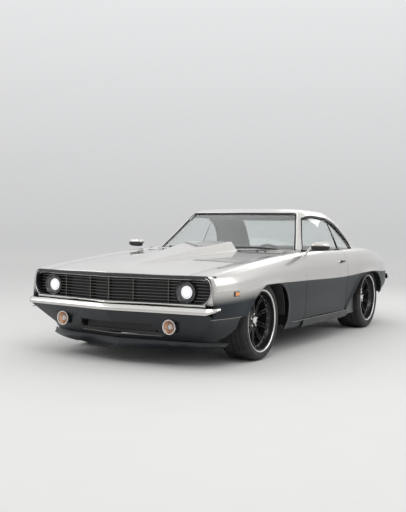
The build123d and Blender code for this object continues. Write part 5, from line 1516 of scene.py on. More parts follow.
def chinShape():
    # closed lip: outer face down and forward, a rounded foot, inner face back up
    u = np.linspace(-1, 1, 141)
    a, b = alongWrap(chinLow, u), alongWrap(chinHigh, u)
    s = np.sign(u + 1e-12)
    foot = np.interp(a[:, 0], *chinFoot.T)
    low = xyz(a[:, 0] * s, a[:, 1] + car["noseY"], foot)
    high = xyz(b[:, 0] * s, b[:, 1] + car["noseY"], 0.1915)
    steps = np.linspace(0, 1, 9)[:, None, None]
    outer = high + (low - high) * steps
    outer[..., 1] += 0.010 * np.sin(steps[..., 0] * math.pi)
    inner = outer[::-1] + [0, 0.018, 0]
    inner[0, :, 2] += 0.004
    grid = np.concatenate([outer, inner])
    ends = [np.repeat(grid[:, c:c + 1].mean(0, keepdims=True), len(grid), 0) for c in (0, -1)]
    return sheetOf(np.concatenate([ends[0], grid, ends[1]], 1), True, False)


makePiece("chin_lip", chinShape(), skirtPaint, ["chin_spoiler"], bevel=0.001, sharp=50)
seamY = np.linspace(-2.215, -1.845, 30)
seamX = lowerSide(seamY, np.full(30, car["seamZ"] + 0.001))
seamPath = xyz(seamX - 0.0005, seamY, car["seamZ"] - 0.0015)
makePiece("fender_seam", bothSides(swept(seamPath, oval(0.0022, 0.0022))), dullBright, sharp=60)
print("front end done")

# wheels and tyres: one set of shapes per axle, mirrored across
# lip and ring are (along, out) from the outer face and the rim's edge, hub and cap from the outer face and the axle
wheels = {
    "lipSection": [(-0.009, -0.0005), (-0.004, 0.0005), (0, -0.001), (0.0005, -0.004), (-0.003, -0.010),
                   (-0.0045, -0.0115), (-0.0070, -0.0115), (-0.0060, -0.009), (-0.0085, -0.005)],
    "ringSection": [(-0.0065, -0.0100), (-0.012, -0.0165), (-0.026, -0.0205), (-0.052, -0.024), (-0.060, -0.028),
                    (-0.060, -0.040), (-0.064, -0.044), (-0.090, -0.046), (-0.090, -0.040), (-0.066, -0.034),
                    (-0.030, -0.018), (-0.009, -0.012)],
    "hubSection": [(-0.124, 0.0), (-0.124, 0.080), (-0.100, 0.084), (-0.088, 0.076), (-0.085, 0.064), (-0.087, 0.040),
                   (-0.083, 0.034), (-0.083, 0.0)],
    "capSection": [(-0.084, 0.0), (-0.084, 0.0330), (-0.072, 0.0325), (-0.066, 0.0290), (-0.0655, 0.0240),
                   (-0.067, 0.0)],
    "lip": 0.254, "bead": 0.240, "well": 0.222, "spokes": 10, "treadSteps": 60,
    "spokeFoot": 0.062, "spokeTip": 0.214, "spokeGap": 0.0120, "bolts": 24, "nuts": 5, "nutRing": 0.052,
    "boltIn": 0.034,
    "front": {"x0": 0.642, "x1": 0.897, "y": -1.432, "r": 0.320, "disc": 0.712},
    "rear": {"x0": 0.590, "x1": 0.885, "y": 1.311, "r": 0.335, "disc": 0.648},
}


def wheelParts(w):
    # all shapes of one left wheel: tyre, barrel, polished lip, spoke centre, bolts, cap, disc and bell
    x0, x1, r = w["x0"] + 0.005, w["x1"] - 0.005, w["r"]
    c = (0.0, w["y"], w["r"])
    edge, bead, well = wheels["lip"], wheels["bead"], wheels["well"]
    half = [(0.0, r - 0.0015), (0.30, r), (0.62, r - 0.0005), (0.83, r - 0.004), (0.92, r - 0.0095),
            (0.975, r - 0.019), (1.0, r - 0.032), (1.022, (r + edge) / 2 + 0.006), (1.024, edge + 0.026),
            (1.012, edge + 0.012), (0.985, edge + 0.0030), (0.950, edge + 0.0005), (0.925, edge - 0.004),
            (0.915, edge - 0.010)]
    mid, hw = (x0 + x1) / 2, (x1 - x0) / 2
    prof = np.array([(mid + a * hw, b) for a, b in half])
    inner = np.array([(mid - a * hw, b) for a, b in half[1:]])
    outside = np.vstack([inner[::-1], prof])
    inside = np.array([(x1 - 0.024, edge + 0.020), (x1 - 0.030, r - 0.016), (x0 + 0.030, r - 0.016),
                       (x0 + 0.024, edge + 0.020)])
    full = np.vstack([smoothLine(outside, 46), inside])
    tv, tf = spun(full, c, 0, 240, close=True)
    # tread: circumferential grooves and slanted sipes pressed into the running band
    rad = np.hypot(tv[:, 1] - c[1], tv[:, 2] - c[2])
    ang = np.arctan2(tv[:, 2] - c[2], tv[:, 1] - c[1])
    across = (tv[:, 0] - mid) / hw
    band = (np.abs(across) < 0.90) & (rad > r - 0.012)
    groove = np.zeros(len(tv))
    for g in (-0.52, -0.18, 0.18, 0.52):
        groove = np.maximum(groove, 1 - ease(0.012, 0.035, np.abs(across - g)))
    sipe = (np.mod(ang * wheels["treadSteps"] / (2 * math.pi) + across * 1.3, 1.0) < 0.25) & (np.abs(across) > 0.24)
    drop = np.where(band, np.maximum(groove * 0.006, sipe * 0.0035), 0.0)
    scale = (rad - drop) / np.maximum(rad, 1e-6)
    tv[:, 1] = c[1] + (tv[:, 1] - c[1]) * scale
    tv[:, 2] = c[2] + (tv[:, 2] - c[2]) * scale
    barrel = spun([(x0, edge), (x0 + 0.006, edge), (x0 + 0.008, bead + 0.003), (x0 + 0.034, bead),
                   (x0 + 0.048, well), (x1 - 0.090, well), (x1 - 0.070, bead), (x1 - 0.012, bead + 0.001),
                   (x1 - 0.0095, edge - 0.001), (x1 - 0.009, bead - 0.006), (x1 - 0.060, bead - 0.011),
                   (x1 - 0.082, well - 0.010), (x1 - 0.100, well - 0.013), (x0 + 0.050, well - 0.010),
                   (x0 + 0.038, bead - 0.009), (x0, bead - 0.009)], c, 0, 96, close=True)
    outerEdge = np.array([x1, edge])
    lip = spun(wheels["lipSection"] + outerEdge, c, 0, 96, close=True)
    ring = spun(wheels["ringSection"] + outerEdge, c, 0, 96, close=True)
    # twin spokes: a boxed arm that leans back towards its tip
    face = x1 - 0.086
    rows = np.array([(wheels["spokeFoot"], 0.004, 0.013, 0.030), (0.110, 0.0005, 0.0105, 0.024),
                     (0.165, 0.000, 0.0095, 0.022), (wheels["spokeTip"], 0.016, 0.0110, 0.020)])
    f = np.linspace(0, 1, 12)
    rr, lean, wide, deep = (np.interp(f, np.linspace(0, 1, 4), rows[:, k]) for k in range(4))
    section = np.array([(0, -1), (0, 1), (-0.18, 1), (-1, 0.75), (-1, -0.75), (-0.18, -1)])
    arm = np.empty((12, 6, 3))
    arm[..., 0] = face + lean[:, None] + section[None, :, 0] * deep[:, None] + 0.004
    arm[..., 1] = c[1] + section[None, :, 1] * wide[:, None] / 2
    arm[..., 2] = c[2] + rr[:, None]
    one = capped(arm)
    gap = wheels["spokeGap"]
    twin = joined((one[0] + [0, gap, 0], one[1]), (one[0] - [0, gap, 0], one[1]))
    web = roundedBox((face - 0.016, c[1] - gap, c[2] + 0.060), (face - 0.006, c[1] + gap, c[2] + 0.105), 0.002, 2)
    web2 = roundedBox((face - 0.012, c[1] - gap, c[2] + 0.190), (face - 0.002, c[1] + gap, c[2] + 0.206), 0.002, 2)
    spokes = aroundAxle(joined(twin, web, web2), circle(wheels["spokes"]), c)
    outerFace = np.array([x1, 0])
    hubShape = spun(wheels["hubSection"] + outerFace, c, 0, 60)
    nut = spun([(0.0, 0.0), (0.0, 0.0105), (0.014, 0.0095), (0.017, 0.006), (0.017, 0.0)], (0, 0, 0), 0, 6)
    a = circle(wheels["nuts"]) + 0.3
    nuts = copies(nut, xyz(x1 - 0.089, c[1] + wheels["nutRing"] * np.cos(a), c[2] + wheels["nutRing"] * np.sin(a)))
    bolt = spun([(0.0, 0.0), (0.0, 0.0036), (0.003, 0.0040), (0.0048, 0.0026), (0.0050, 0.0)], (0, 0, 0), 0, 8)
    a = circle(wheels["bolts"])
    boltRing = edge - wheels["boltIn"]
    bolts = copies(bolt, xyz(x1 - 0.0605, c[1] + boltRing * np.cos(a), c[2] + boltRing * np.sin(a)))
    cap = spun(wheels["capSection"] + outerFace, c, 0, 44)
    valve = spun([(0.0, 0.0), (0.0, 0.004), (0.026, 0.0032), (0.030, 0.0)], (0, 0, 0), 0, 8)
    valve = copies(valve, np.array([(x1 - 0.088, c[1] + 0.196, c[2] + 0.075)]))
    d = w["disc"]
    disc = spun([(d, 0.070), (d, 0.172), (d + 0.0015, 0.175), (d + 0.0100, 0.175), (d + 0.0105, 0.166),
                 (d + 0.0155, 0.166), (d + 0.016, 0.175), (d + 0.0245, 0.175), (d + 0.026, 0.172), (d + 0.026, 0.100),
                 (d + 0.032, 0.085), (x1 - 0.118, 0.078), (x1 - 0.118, 0.070)], c, 0, 72, close=True)
    return {"tyre": (tv, tf), "barrel": joined(barrel, ring), "lip": lip, "spokes": joined(spokes, hubShape),
            "bolts": joined(bolts, nuts, valve), "cap": cap, "disc": disc}


def tyreFinish():
    # black rubber: a broad noise brings in dust and dulls it, a fine one is the grain
    mat, tree, shader = startFinish("TyreRubber", (0.018, 0.018, 0.018), 0.72)
    dust = noise(tree, 14.0, 6.0)
    dusty = blendColour(tree, mapRange(tree, dust, 0.40, 0.75), (0.011, 0.011, 0.011), (0.036, 0.035, 0.033))
    feed(shader, Base_Color=dusty, Roughness=mapRange(tree, dust, 0.3, 0.7, 0.58, 0.80))
    addBump(tree, shader, noise(tree, 420.0, 4.0), 0.25, 0.0006)
    return mat


def discFinish():
    # turned steel: a noise drawn out along the axle shifts its colour and roughness
    mat, tree, shader = startFinish("BrakeDisc", (0.42, 0.41, 0.40), 0.32, 1.0)
    grain = noise(tree, 60.0, 5.0, (0.2, 1.0, 1.0))
    feed(shader, Base_Color=blendColour(tree, grain, (0.30, 0.29, 0.28), (0.50, 0.49, 0.47)),
         Roughness=mapRange(tree, grain, 0.3, 0.7, 0.24, 0.42))
    addBump(tree, shader, grain, 0.1, 0.0003)
    return mat


tyreBlack = tyreFinish()
wheelBlack = plainFinish("WheelBlack", (0.014, 0.014, 0.015), 0.30, 0.3, 0.3, grain=(500.0, 0.06, 0.0003),
                         mottle=(9.0, 0.2))
discSteel = discFinish()
for axle in ("front", "rear"):
    parts = wheelParts(wheels[axle])
    for side in ("left", "right"):
        body = f"{axle}_{side}_wheel"
        put = {k: flipped(v) if side == "right" else v for k, v in parts.items()}
        makePiece(f"tyre_{axle}_{side}_rubber", put["tyre"], tyreBlack, [f"tyre_{axle}_{side}"],
                  sharp=35, body=body)
        makePiece(f"wheel_{axle}_{side}_barrel", put["barrel"], wheelBlack, [f"rim_{axle}_{side}"],
                  sharp=40, body=body)
        makePiece(f"wheel_{axle}_{side}_spokes", put["spokes"], wheelBlack, bevel=0.0015, sharp=35,
                  body=body)
        makePiece(f"wheel_{axle}_{side}_lip", put["lip"], brightTrim, sharp=50, body=body)
        makePiece(f"wheel_{axle}_{side}_bolts", joined(put["bolts"], put["cap"]), brightTrim, sharp=40,
                  body=body)
        makePiece(f"wheel_{axle}_{side}_disc", put["disc"], discSteel, sharp=40, body=body)
print("wheels done")

# cowl fittings, mirrors, sills
cowl = {
    "wiperY": -0.676, "wiperZ": 0.885, "pivots": (0.10, -0.52), "reach": 0.50,
    "nozzleX": (0.475, 0.556), "nozzleY": -0.697, "nozzleZ": 0.8635,
    "vents": 9, "ventX": (0.16, 0.62), "ventY": -0.655, "ventZ": 0.8702,
}


def wiperShapes():
    # two arms parked along the foot of the screen, each a tapered arm over a thin blade
    parts = []
    for px in cowl["pivots"]:
        f = np.linspace(0, 1, 14)
        x = px + cowl["reach"] * f
        y = cowl["wiperY"] + 0.016 + 0.035 * f + 0.075 * (np.abs(x) / 0.7) ** 2
        z = cowl["wiperZ"] + 0.012 * np.sin(f * math.pi) + 0.004
        arm = swept(np.c_[x, y, z], [(-0.004, -0.002), (0.004, -0.002), (0.003, 0.003), (-0.003, 0.003)],
                    grow=1.3 - 0.6 * f)
        blade = swept(np.c_[x + 0.02, y + 0.010, z - 0.008], [(-0.002, -0.005), (0.002, -0.005), (0.003, 0.004),
                                                              (-0.003, 0.004)])
        pivot = spun([(-0.012, 0.0), (-0.012, 0.011), (0.006, 0.011), (0.011, 0.006), (0.011, 0.0)],
                     (px, y[0], z[0] - 0.002), 2, 20)
        parts += [arm, blade, pivot]
    return joined(*parts)


def nozzleShapes():
    # four small domes ahead of the wipers
    dome = spun([(-0.006, 0.0), (-0.006, 0.010), (0.001, 0.009), (0.006, 0.005), (0.007, 0.0)], (0, 0, 0), 2, 18)
    places = [(s * x, cowl["nozzleY"], cowl["nozzleZ"]) for x in cowl["nozzleX"] for s in (1, -1)]
    return copies(dome, np.array(places))


def cowlVents():
    # a row of short slots on each side
    slot = roundedBox((-0.022, -0.0035, -0.002), (0.022, 0.0035, 0.0012), 0.003, 2)
    return bothSides(copies(slot, xyz(np.linspace(*cowl["ventX"], cowl["vents"]), cowl["ventY"], cowl["ventZ"])))


makePiece("wipers", wiperShapes(), moulded, sharp=40)
makePiece("washer_nozzles", nozzleShapes(), moulded, sharp=50)
makePiece("cowl_slots", cowlVents(), satinBlack)

mirror = {
    "inner": 0.922, "outer": 1.104, "y": -0.505, "z": 0.9165, "deep": 0.039, "high": 0.042,
    "faceWide": 0.070, "faceHigh": 0.030, "foot": (0.881, -0.562, 0.822), "footLong": 0.048, "footHigh": 0.020,
    "arm": [(0.886, -0.548, 0.826), (0.893, -0.534, 0.858), (0.915, -0.515, 0.893), (0.955, -0.505, 0.907)],
}


def mirrorRings(shrink, drop, share):
    # rings along X: quick to full size at the inner end, rounded off at the tip; flatter on the rear face
    f = np.linspace(0, 1, 18)
    size = np.clip(1 - (2 * f - 1) ** 4, 0, 1) ** 0.5 * (1 - 0.16 * f) * shrink
    a = np.linspace(*share, 25)
    ringY = signedPower(np.cos(a), 0.75) * mirror["deep"]
    ringZ = signedPower(np.sin(a), 0.80) * mirror["high"]
    x = mirror["inner"] + (mirror["outer"] - mirror["inner"]) * f
    return xyz(x[:, None], mirror["y"] + 0.006 * f[:, None] + size[:, None] * ringY,
               mirror["z"] - drop + size[:, None] * ringZ)


def mirrorShapes():
    # housing all round, painted shell over its upper half, a flat face behind, and a bent arm on a domed foot
    housing = sheetOf(mirrorRings(0.95, 0.001, (0, 2 * math.pi))[:, :-1], False, True)
    shell = sheetOf(mirrorRings(1.0, 0.0, (0.10, math.pi - 0.10)))
    glassY = mirror["y"] + mirror["deep"] * 0.93
    f = circle(40)
    cx, rx, rz = (mirror["inner"] + mirror["outer"]) / 2, mirror["faceWide"], mirror["faceHigh"]
    rim = xyz(cx + rx * signedPower(np.cos(f), 0.7), glassY, mirror["z"] - 0.002 + rz * signedPower(np.sin(f), 0.8))
    centre = np.broadcast_to(rim.mean(0), rim.shape)
    face = sheetOf(np.stack([rim + [0, -0.004, 0], rim, centre + [0, 0.001, 0]]), False, True)
    grow = 1.25 - 0.35 * np.sin(np.linspace(0, 1, 14) * math.pi)
    arm = swept(smoothLine(mirror["arm"], 14), oval(0.014, 0.0065, 14), up=(1, 0, 0.3), grow=grow)
    b = np.linspace(-math.pi / 2 + 0.01, math.pi / 2 - 0.01, 14)
    egg = np.vstack([(0, 0), np.c_[mirror["footLong"] * np.sin(b), mirror["footHigh"] * np.cos(b)], (0, 0)])
    v, f = spun(egg, (0, 0, 0), 1, 22)
    fade = 1 - 0.45 * np.clip(v[:, 1:2] / mirror["footLong"], -1, 1)
    foot = v * np.concatenate([fade * 0.85, np.ones_like(fade), fade * 1.25], 1) + mirror["foot"]
    return housing, shell, face, joined(arm, (foot, f))


mirrorHousing, mirrorShell, mirrorFace, mirrorArm = mirrorShapes()
mirrorGlass = plainFinish("MirrorFace", (0.80, 0.82, 0.83), 0.04, 1.0, grain=(300.0, 0.01, 0.0001),
                          mottle=(6.0, 0.04))
for side, name, turn in sides:
    body = f"{name}_door"
    makePiece(f"mirror_{name}_housing", turn(mirrorHousing), moulded, [f"mirror_{name}"], sharp=60,
              body=body)
    makePiece(f"mirror_{name}_shell", turn(mirrorShell), silverPlain, thick=0.002, sharp=60, body=body)
    makePiece(f"mirror_{name}_face", turn(mirrorFace), mirrorGlass, body=body)
    makePiece(f"mirror_{name}_arm", turn(mirrorArm), silverPlain, sharp=60, body=body)

sill = {
    "y0": -0.598, "y1": 0.591, "stripY": (-0.86, 0.585), "stripX": 0.9055, "stripZ": 0.2585,
    "outline": [(0.905, 0.258), (0.893, 0.205), (0.869, 0.182), (0.770, 0.182), (0.770, 0.258)],
}


def sillShape():
    # one section carried straight along each sill
    loop = roundLine(sill["outline"], 0.010, 4, closed=True)
    ys = np.r_[sill["y0"], np.linspace(sill["y0"] + 0.004, sill["y1"] - 0.004, 24), sill["y1"]]
    return bothSides(capped(xyz(loop[:, 0], ys[:, None], loop[:, 1])))


makePiece("sill_covers", sillShape(), skirtPaint, ["sills"], bevel=0.001, sharp=35)
# the strip follows the fender's foot, then runs straight along the sill
stripY = np.linspace(*sill["stripY"], 50)
stripX = np.where(stripY < -0.60, lowerSide(stripY, np.full(50, 0.2615)), sill["stripX"])
strip = swept(xyz(np.maximum(stripX, 0.9050), stripY, sill["stripZ"]), oval(0.0022, 0.0030))
makePiece("rocker_strips", bothSides(strip), dullBright, sharp=60)

# rear deck, boot lid, tail
rear = {
    "deckZ": 0.884, "deckFront": 1.403, "deckBow": 0.150, "deckRear": 1.4525, "lidFront": 1.458, "lidRear": 2.283,
    "crown": 0.012, "middle": 0.015, "sheet": 0.020,
    "plateY": 2.290, "rollFrom": 0.052, "rollDrop": 0.006, "lampZ0": 0.640, "lampZ1": 0.712,
    "hinge": (0.500, 1.455, 0.88832), "lock": (0, 2.3125, 0.675),
}


def topEdge(y):
    # the quarter panel's inner top edge at Y, as (x, z)
    e = sideSection(np.asarray(y, float))[..., 0, :]
    return e[..., 0], e[..., 1]


def deckShape():
    # from the rear window's foot to the lid: rows across, the front edge bowed back in the middle
    f = np.linspace(-1, 1, 41)
    rows = []
    for k in np.linspace(0, 1, 8):
        y0 = rear["deckFront"] - rear["deckBow"] * f ** 2
        y = y0 + (rear["deckRear"] - y0) * k
        xe, ze = topEdge(np.clip(y, 1.26, rear["deckRear"]))
        z = rear["deckZ"] + 0.001 * (1 - f ** 2) + (ze - rear["deckZ"]) * np.abs(f) ** 6 * 0.5
        rows.append(xyz(f * (xe - 0.002), y, z))
    lip = rows[-1] + [0, 0.0008, -0.014]
    return sheetOf(np.stack(rows + [lip]))


def lidShape():
    # crowned across; the rear end turns down over the tail plate
    f = np.linspace(-1, 1, 45)
    y0, y1 = rear["lidFront"], rear["lidRear"]
    ys = np.r_[y0, np.linspace(y0 + 0.004, y1 - 0.050, 26), np.linspace(y1 - 0.040, y1, 8)]
    grid = []
    for y in ys:
        xe, ze = topEdge(y)
        xe -= 0.0045
        over = max(0.0, (y - (y1 - rear["rollFrom"])) / rear["rollFrom"])
        ridge = (rear["middle"] - rear["crown"]) * (1 - np.abs(f)) ** 1.5
        grid.append(xyz(f * xe, y, ze + rear["crown"] * (1 - f ** 2) + ridge - rear["rollDrop"] * over ** 3))
    grid = np.stack(grid)
    first = grid[:1] + [0, 0.0005, -0.010]
    tail = grid[-1:] + [0, 0.001, -0.012]
    return sheetOf(np.concatenate([first, grid, tail]))


def lidHinges():
    # an eye round each pin and a leaf under the lid
    x, y, z = rear["hinge"]
    eye = spun([(x - 0.008, 0.0038), (x + 0.008, 0.0038), (x + 0.008, 0.0052), (x - 0.008, 0.0052)], (0, y, z), 0,
               20, close=True)
    leaf = roundedBox((x - 0.007, y + 0.006, z - 0.012), (x + 0.007, y + 0.085, z - 0.0075), 0.002, 2)
    return bothSides(joined(eye, leaf))


makePiece("deck_skin", deckShape(), silverPlain, out=(0, 0, 1), thick=0.006, bevel=0.001)
makePiece("boot_lid_skin", lidShape(), silverPlain, ["boot_lid"], out=(0, 0, 1), thick=rear["sheet"],
          bevel=0.0015, sharp=45, body="boot_lid")
makePiece("boot_lid_hinges", lidHinges(), steel, bevel=0.0005, body="boot_lid")
lockRing = spun([(0.0, 0.0), (0.0, 0.013), (0.004, 0.013), (0.006, 0.010), (0.0065, 0.004), (0.004, 0.0)],
                rear["lock"], 1, 28)
makePiece("boot_lock", lockRing, brightTrim, sharp=40)

tailLamp = {"x": 0.300, "pitch": 0.122, "count": 3, "wide": 0.112, "ribs": 5, "ribFirst": 0.020, "ribStep": 0.018}
lampFrames, lampLenses, lampRibs = [], [], []
z0, z1, y = rear["lampZ0"], rear["lampZ1"], rear["plateY"] + 0.010
for k in range(tailLamp["count"]):
    x0 = tailLamp["x"] + tailLamp["pitch"] * k
    x1 = x0 + tailLamp["wide"]
    lampFrames.append(roundedBox((x0 - 0.004, y, z0 - 0.004), (x1 + 0.004, y + 0.0165, z1 + 0.004), 0.003, 2))
    lampLenses.append(roundedBox((x0 + 0.002, y + 0.004, z0 + 0.002), (x1 - 0.002, y + 0.0225, z1 - 0.002), 0.004, 3))
    for x in x0 + tailLamp["ribFirst"] + tailLamp["ribStep"] * np.arange(tailLamp["ribs"]):
        low, high = (x - 0.0008, y + 0.015, z0 + 0.006), (x + 0.0008, y + 0.0238, z1 - 0.006)
        lampRibs.append(roundedBox(low, high, 0.0006, 2))
redLens = plainFinish("TailLens", (0.42, 0.012, 0.010), 0.10, 0.0, 1.0, grain=(120.0, 0.25, 0.0005),
                      mottle=(50.0, 0.25))
makePiece("tail_lamp_frames", bothSides(joined(*lampFrames)), brightTrim, bevel=0.0006)
makePiece("tail_lamp_lenses", bothSides(joined(*lampLenses)), redLens, ["tail_lamps"], bevel=0.001)
makePiece("tail_lamp_ribs", bothSides(joined(*lampRibs)), redLens)

rearBumper = {
    "path": [(-0.6, 2.354), (0, 2.362), (0.600, 2.354), (0.720, 2.346), (0.790, 2.318), (0.828, 2.272),
             (0.841, 2.220), (0.848, 2.165)],
    "section": [(-0.001, -0.0365), (0.002, -0.020), (0.0035, 0.000), (0.0005, 0.012), (-0.004, 0.0335),
                (-0.009, 0.0365), (-0.016, 0.034), (-0.012, 0.010), (-0.0125, -0.030), (-0.009, -0.0365)],
    "z": 0.5375, "hold": 0.0, "off": -0.004, "endSize": 0.65,
    "bracket": ((0.365, 2.285, 0.515), (0.415, 2.346, 0.560)),
}
half, square = halfPath(rearBumper["path"], 110)
thin = np.interp(np.arange(len(half)), [0, len(half) * 0.8, len(half) - 1], [1, 1, rearBumper["endSize"]])
makePiece("rear_bumper_blade", blade(rearBumper, half, square, thin), bladeSilver, ["rear_bumper"],
          bevel=0.0006, sharp=32)
brackets = bothSides(roundedBox(*rearBumper["bracket"], 0.004, 2))
makePiece("rear_bumper_brackets", brackets, chassis, bevel=0.001)


rearPanel = {
    "path": [(-0.62, 2.308), (0, 2.318), (0.620, 2.308), (0.730, 2.268), (0.774, 2.150), (0.794, 2.050)],
    # how deep it lies at each height
    "profile": ((0.001, 0.4395), (0.0, 0.436), (0.0, 0.400), (0.0025, 0.372), (0.008, 0.354), (0.016, 0.3465),
                (0.030, 0.345)),
}


def rearSkirt():
    # lower rear panel along its path, rolled under at the foot
    path, outward = halfPath(rearPanel["path"], 90)
    rows = [xyz(*(path - outward * depth).T, z) for depth, z in rearPanel["profile"]]
    return sheetOf(acrossMiddle(np.stack(rows)))


makePiece("rear_skirt", rearSkirt(), skirtPaint, ["rear_valance"], out=(0, 1, 0), thick=0.006,
          bevel=0.001)
tips = {
    "centre": (0.450, 0, 0.262),
    "profile": [(2.215, 0.0285), (2.285, 0.0310), (2.2910, 0.0325), (2.2900, 0.0345), (2.280, 0.0350),
                (2.215, 0.0300)],
}
tipShape = spun(tips["profile"], tips["centre"], 1, 40, close=True)
makePiece("exhaust_tips", bothSides(tipShape), brightTrim, sharp=60)
shadeSheet = {"x": 0.838, "y0": 0.592, "z0": 0.200, "clear": 0.372}


def shadeSheetShape():
    # dark sheet that stands in for the shade between the sill and the rear tyre: its rear edge keeps one radius round
    # the axle
    z = np.linspace(shadeSheet["z0"], 0.560, 22)
    rearY = wheels["rear"]["y"] - np.sqrt(np.maximum(shadeSheet["clear"] ** 2 - (z - wheels["rear"]["r"]) ** 2, 0.0))
    f = np.linspace(0, 1, 20)
    y = shadeSheet["y0"] + f[None] * (rearY[:, None] - shadeSheet["y0"])
    x = shadeSheet["x"] + 0.004 * np.sin(f * math.pi)[None] - 0.030 * (1 - f[None]) * ((z[:, None] - shadeSheet["z0"]) / 0.36)
    return sheetOf(xyz(x, y, z[:, None]))


# the satin black sheet here is painted shade ahead of the rear tyre
makePiece("painted_shade_sheets", bothSides(shadeSheetShape()), satinBlack, thick=0.004, bevel=0.001)
print("rear done")

# cabin: seats, dashboard, steering wheel, console, door cards, headliner
def padShape(path, wide, thick, x, pleats, square=0.42):
    # soft pad along a path in (y, z): rounded square rings, fuller side bolsters, shallow pleats on both faces
    line = smoothLine(path, 26)
    ahead = unit(np.gradient(line, axis=0))
    normal = np.stack([-ahead[:, 1], ahead[:, 0]], -1)
    k = np.linspace(0, 1, 26)
    w = np.interp(k, np.linspace(0, 1, len(wide)), wide) / 2
    h = np.interp(k, np.linspace(0, 1, len(thick)), thick)
    close = np.clip(1 - (2 * k - 1) ** 14, 0, 1) ** 0.5
    narrow = 1 - 0.10 * (1 - np.clip(1 - (2 * k - 1) ** 8, 0, 1))
    a = circle(72)
    rx, rz = signedPower(np.cos(a), square), signedPower(np.sin(a), square)
    bolster = 1 + 0.16 * np.abs(rx) ** 5
    deep, seamDeep = 0.0032, 0.004
    flat = np.abs(rx[None]) < 0.72
    crease = deep * np.abs(np.sin(rx[None] * math.pi * pleats / 2)) ** 0.4 * flat * close[:, None]
    cross = seamDeep * (np.abs(np.sin(k * math.pi * 3)) < 0.18)[:, None] * (np.abs(rx[None]) < 0.75)
    sunk = np.sign(rz)[None] * (deep - crease + cross) * close[:, None]
    size = h[:, None] * (close[:, None] * rz[None] * bolster[None]) - sunk
    across = x + w[:, None] * narrow[:, None] * rx[None] * (0.55 + 0.45 * close[:, None])
    return capped(xyz(across, line[:, :1] + normal[:, :1] * size, line[:, 1:] + normal[:, 1:] * size))


seats = {
    "x": 0.395, "shellX": 0.20, "fill": 0.9,
    "cushion": [(-0.160, 0.318), (-0.02, 0.330), (0.14, 0.316), (0.300, 0.296)],
    "back": [(0.352, 0.290), (0.398, 0.470), (0.458, 0.690), (0.520, 0.895)],
    "rearCushion": [(0.725, 0.470), (0.84, 0.474), (0.93, 0.468), (1.000, 0.462)],
    "rearBack": [(0.955, 0.500), (1.000, 0.600), (1.035, 0.700), (1.065, 0.810)],
}


def clothFinish(name, colour):
    # woven cloth: crossed fine noise for the threads and a wide faded mottle
    mat, tree, shader = startFinish(name, colour, 0.85)
    shader.inputs["Sheen Weight"].default_value = 0.25
    across = noise(tree, 700.0, 2.0, (1.0, 0.12, 0.12))
    along = noise(tree, 700.0, 2.0, (0.12, 1.0, 1.0))
    wide = noise(tree, 9.0, 4.0)
    threads = blendColour(tree, across, tuple(c * 0.6 for c in colour), tuple(c * 1.5 for c in colour))
    faded = mapRange(tree, wide, 0.35, 0.65, 0.0, 0.4)
    feed(shader, Base_Color=blendColour(tree, faded, threads, tuple(c * 0.8 for c in colour)))
    addBump(tree, shader, along, 0.35, 0.0008)
    return mat


seatCloth = clothFinish("SeatCloth", (0.040, 0.041, 0.043))
roofCloth = clothFinish("RoofLining", (0.20, 0.20, 0.195))
cushions, backs, shells = [], [], []
for s in (1, -1):
    x = s * seats["x"]
    cushions.append(padShape(seats["cushion"], (0.43, 0.47, 0.46, 0.42), (0.070, 0.085, 0.080, 0.070), x, 7))
    backs.append(padShape(seats["back"], (0.42, 0.46, 0.45, 0.37), (0.052, 0.058, 0.050, 0.034), x, 7))
    shells.append(roundedBox((x - seats["shellX"], -0.120, 0.2136), (x + seats["shellX"], 0.300, 0.262), 0.03, 4))
makePiece("front_seat_cushions", joined(*cushions), seatCloth, ["front_seats"], sharp=80)
makePiece("front_seat_backs", joined(*backs), seatCloth, sharp=80)
makePiece("front_seat_bases", joined(*shells), moulded, bevel=0.003)
rearCushion = padShape(seats["rearCushion"], (1.02, 1.06, 1.06, 1.02), (0.044, 0.049, 0.048, 0.042), 0, 14)
rearBack = padShape(seats["rearBack"], (1.02, 1.06, 1.06, 1.00), (0.040, 0.046, 0.044, 0.034), 0, 14)
rearBase = bothSides(roundedBox((0.166, 0.742, 0.350), (0.525, 0.990, 0.432), 0.02, 4))
makePiece("rear_seat_cushion", rearCushion, seatCloth, ["rear_seat"], sharp=80)
makePiece("rear_seat_back", rearBack, seatCloth, sharp=80)
makePiece("rear_seat_base", rearBase, moulded, bevel=0.003)

dash = {
    "halfWidth": 0.700, "dialY": -0.2755,
    "profile": [(-0.632, 0.602), (-0.632, 0.846), (-0.430, 0.846), (-0.285, 0.832), (-0.268, 0.660), (-0.400, 0.584)],
    # the rim's section as (back, out) from a dial's edge, and each dial's place across, height and radius
    "rim": [(-0.004, -0.004), (0.003, -0.004), (0.006, -0.001), (0.004, 0.002), (-0.004, 0.002)],
    "dials": ((0.300, 0.760, 0.047), (0.440, 0.760, 0.047), (0.370, 0.700, 0.026), (0.205, 0.760, 0.026)),
}


def dashShape():
    # rounded profile along X, drawn in a little at both ends, with a hood over the dials
    loop = roundLine(dash["profile"], 0.024, 5, closed=True)
    x = np.r_[-dash["halfWidth"], np.linspace(-dash["halfWidth"] + 0.006, dash["halfWidth"] - 0.006, 60),
              dash["halfWidth"]]
    mid = loop.mean(0)
    shrink = 1 - 0.02 * (np.abs(x) > dash["halfWidth"] - 0.003)
    p = mid + (loop[None] - mid) * shrink[:, None, None]
    hood = np.exp(-((x - 0.37) / 0.17) ** 4)[:, None] * (p[..., 1] > 0.80) * (p[..., 0] > -0.50)
    p = p + np.stack([0.014 * hood * (p[..., 0] > -0.34), 0.002 * hood], -1)
    return capped(xyz(x[:, None], p[..., 0], p[..., 1]))


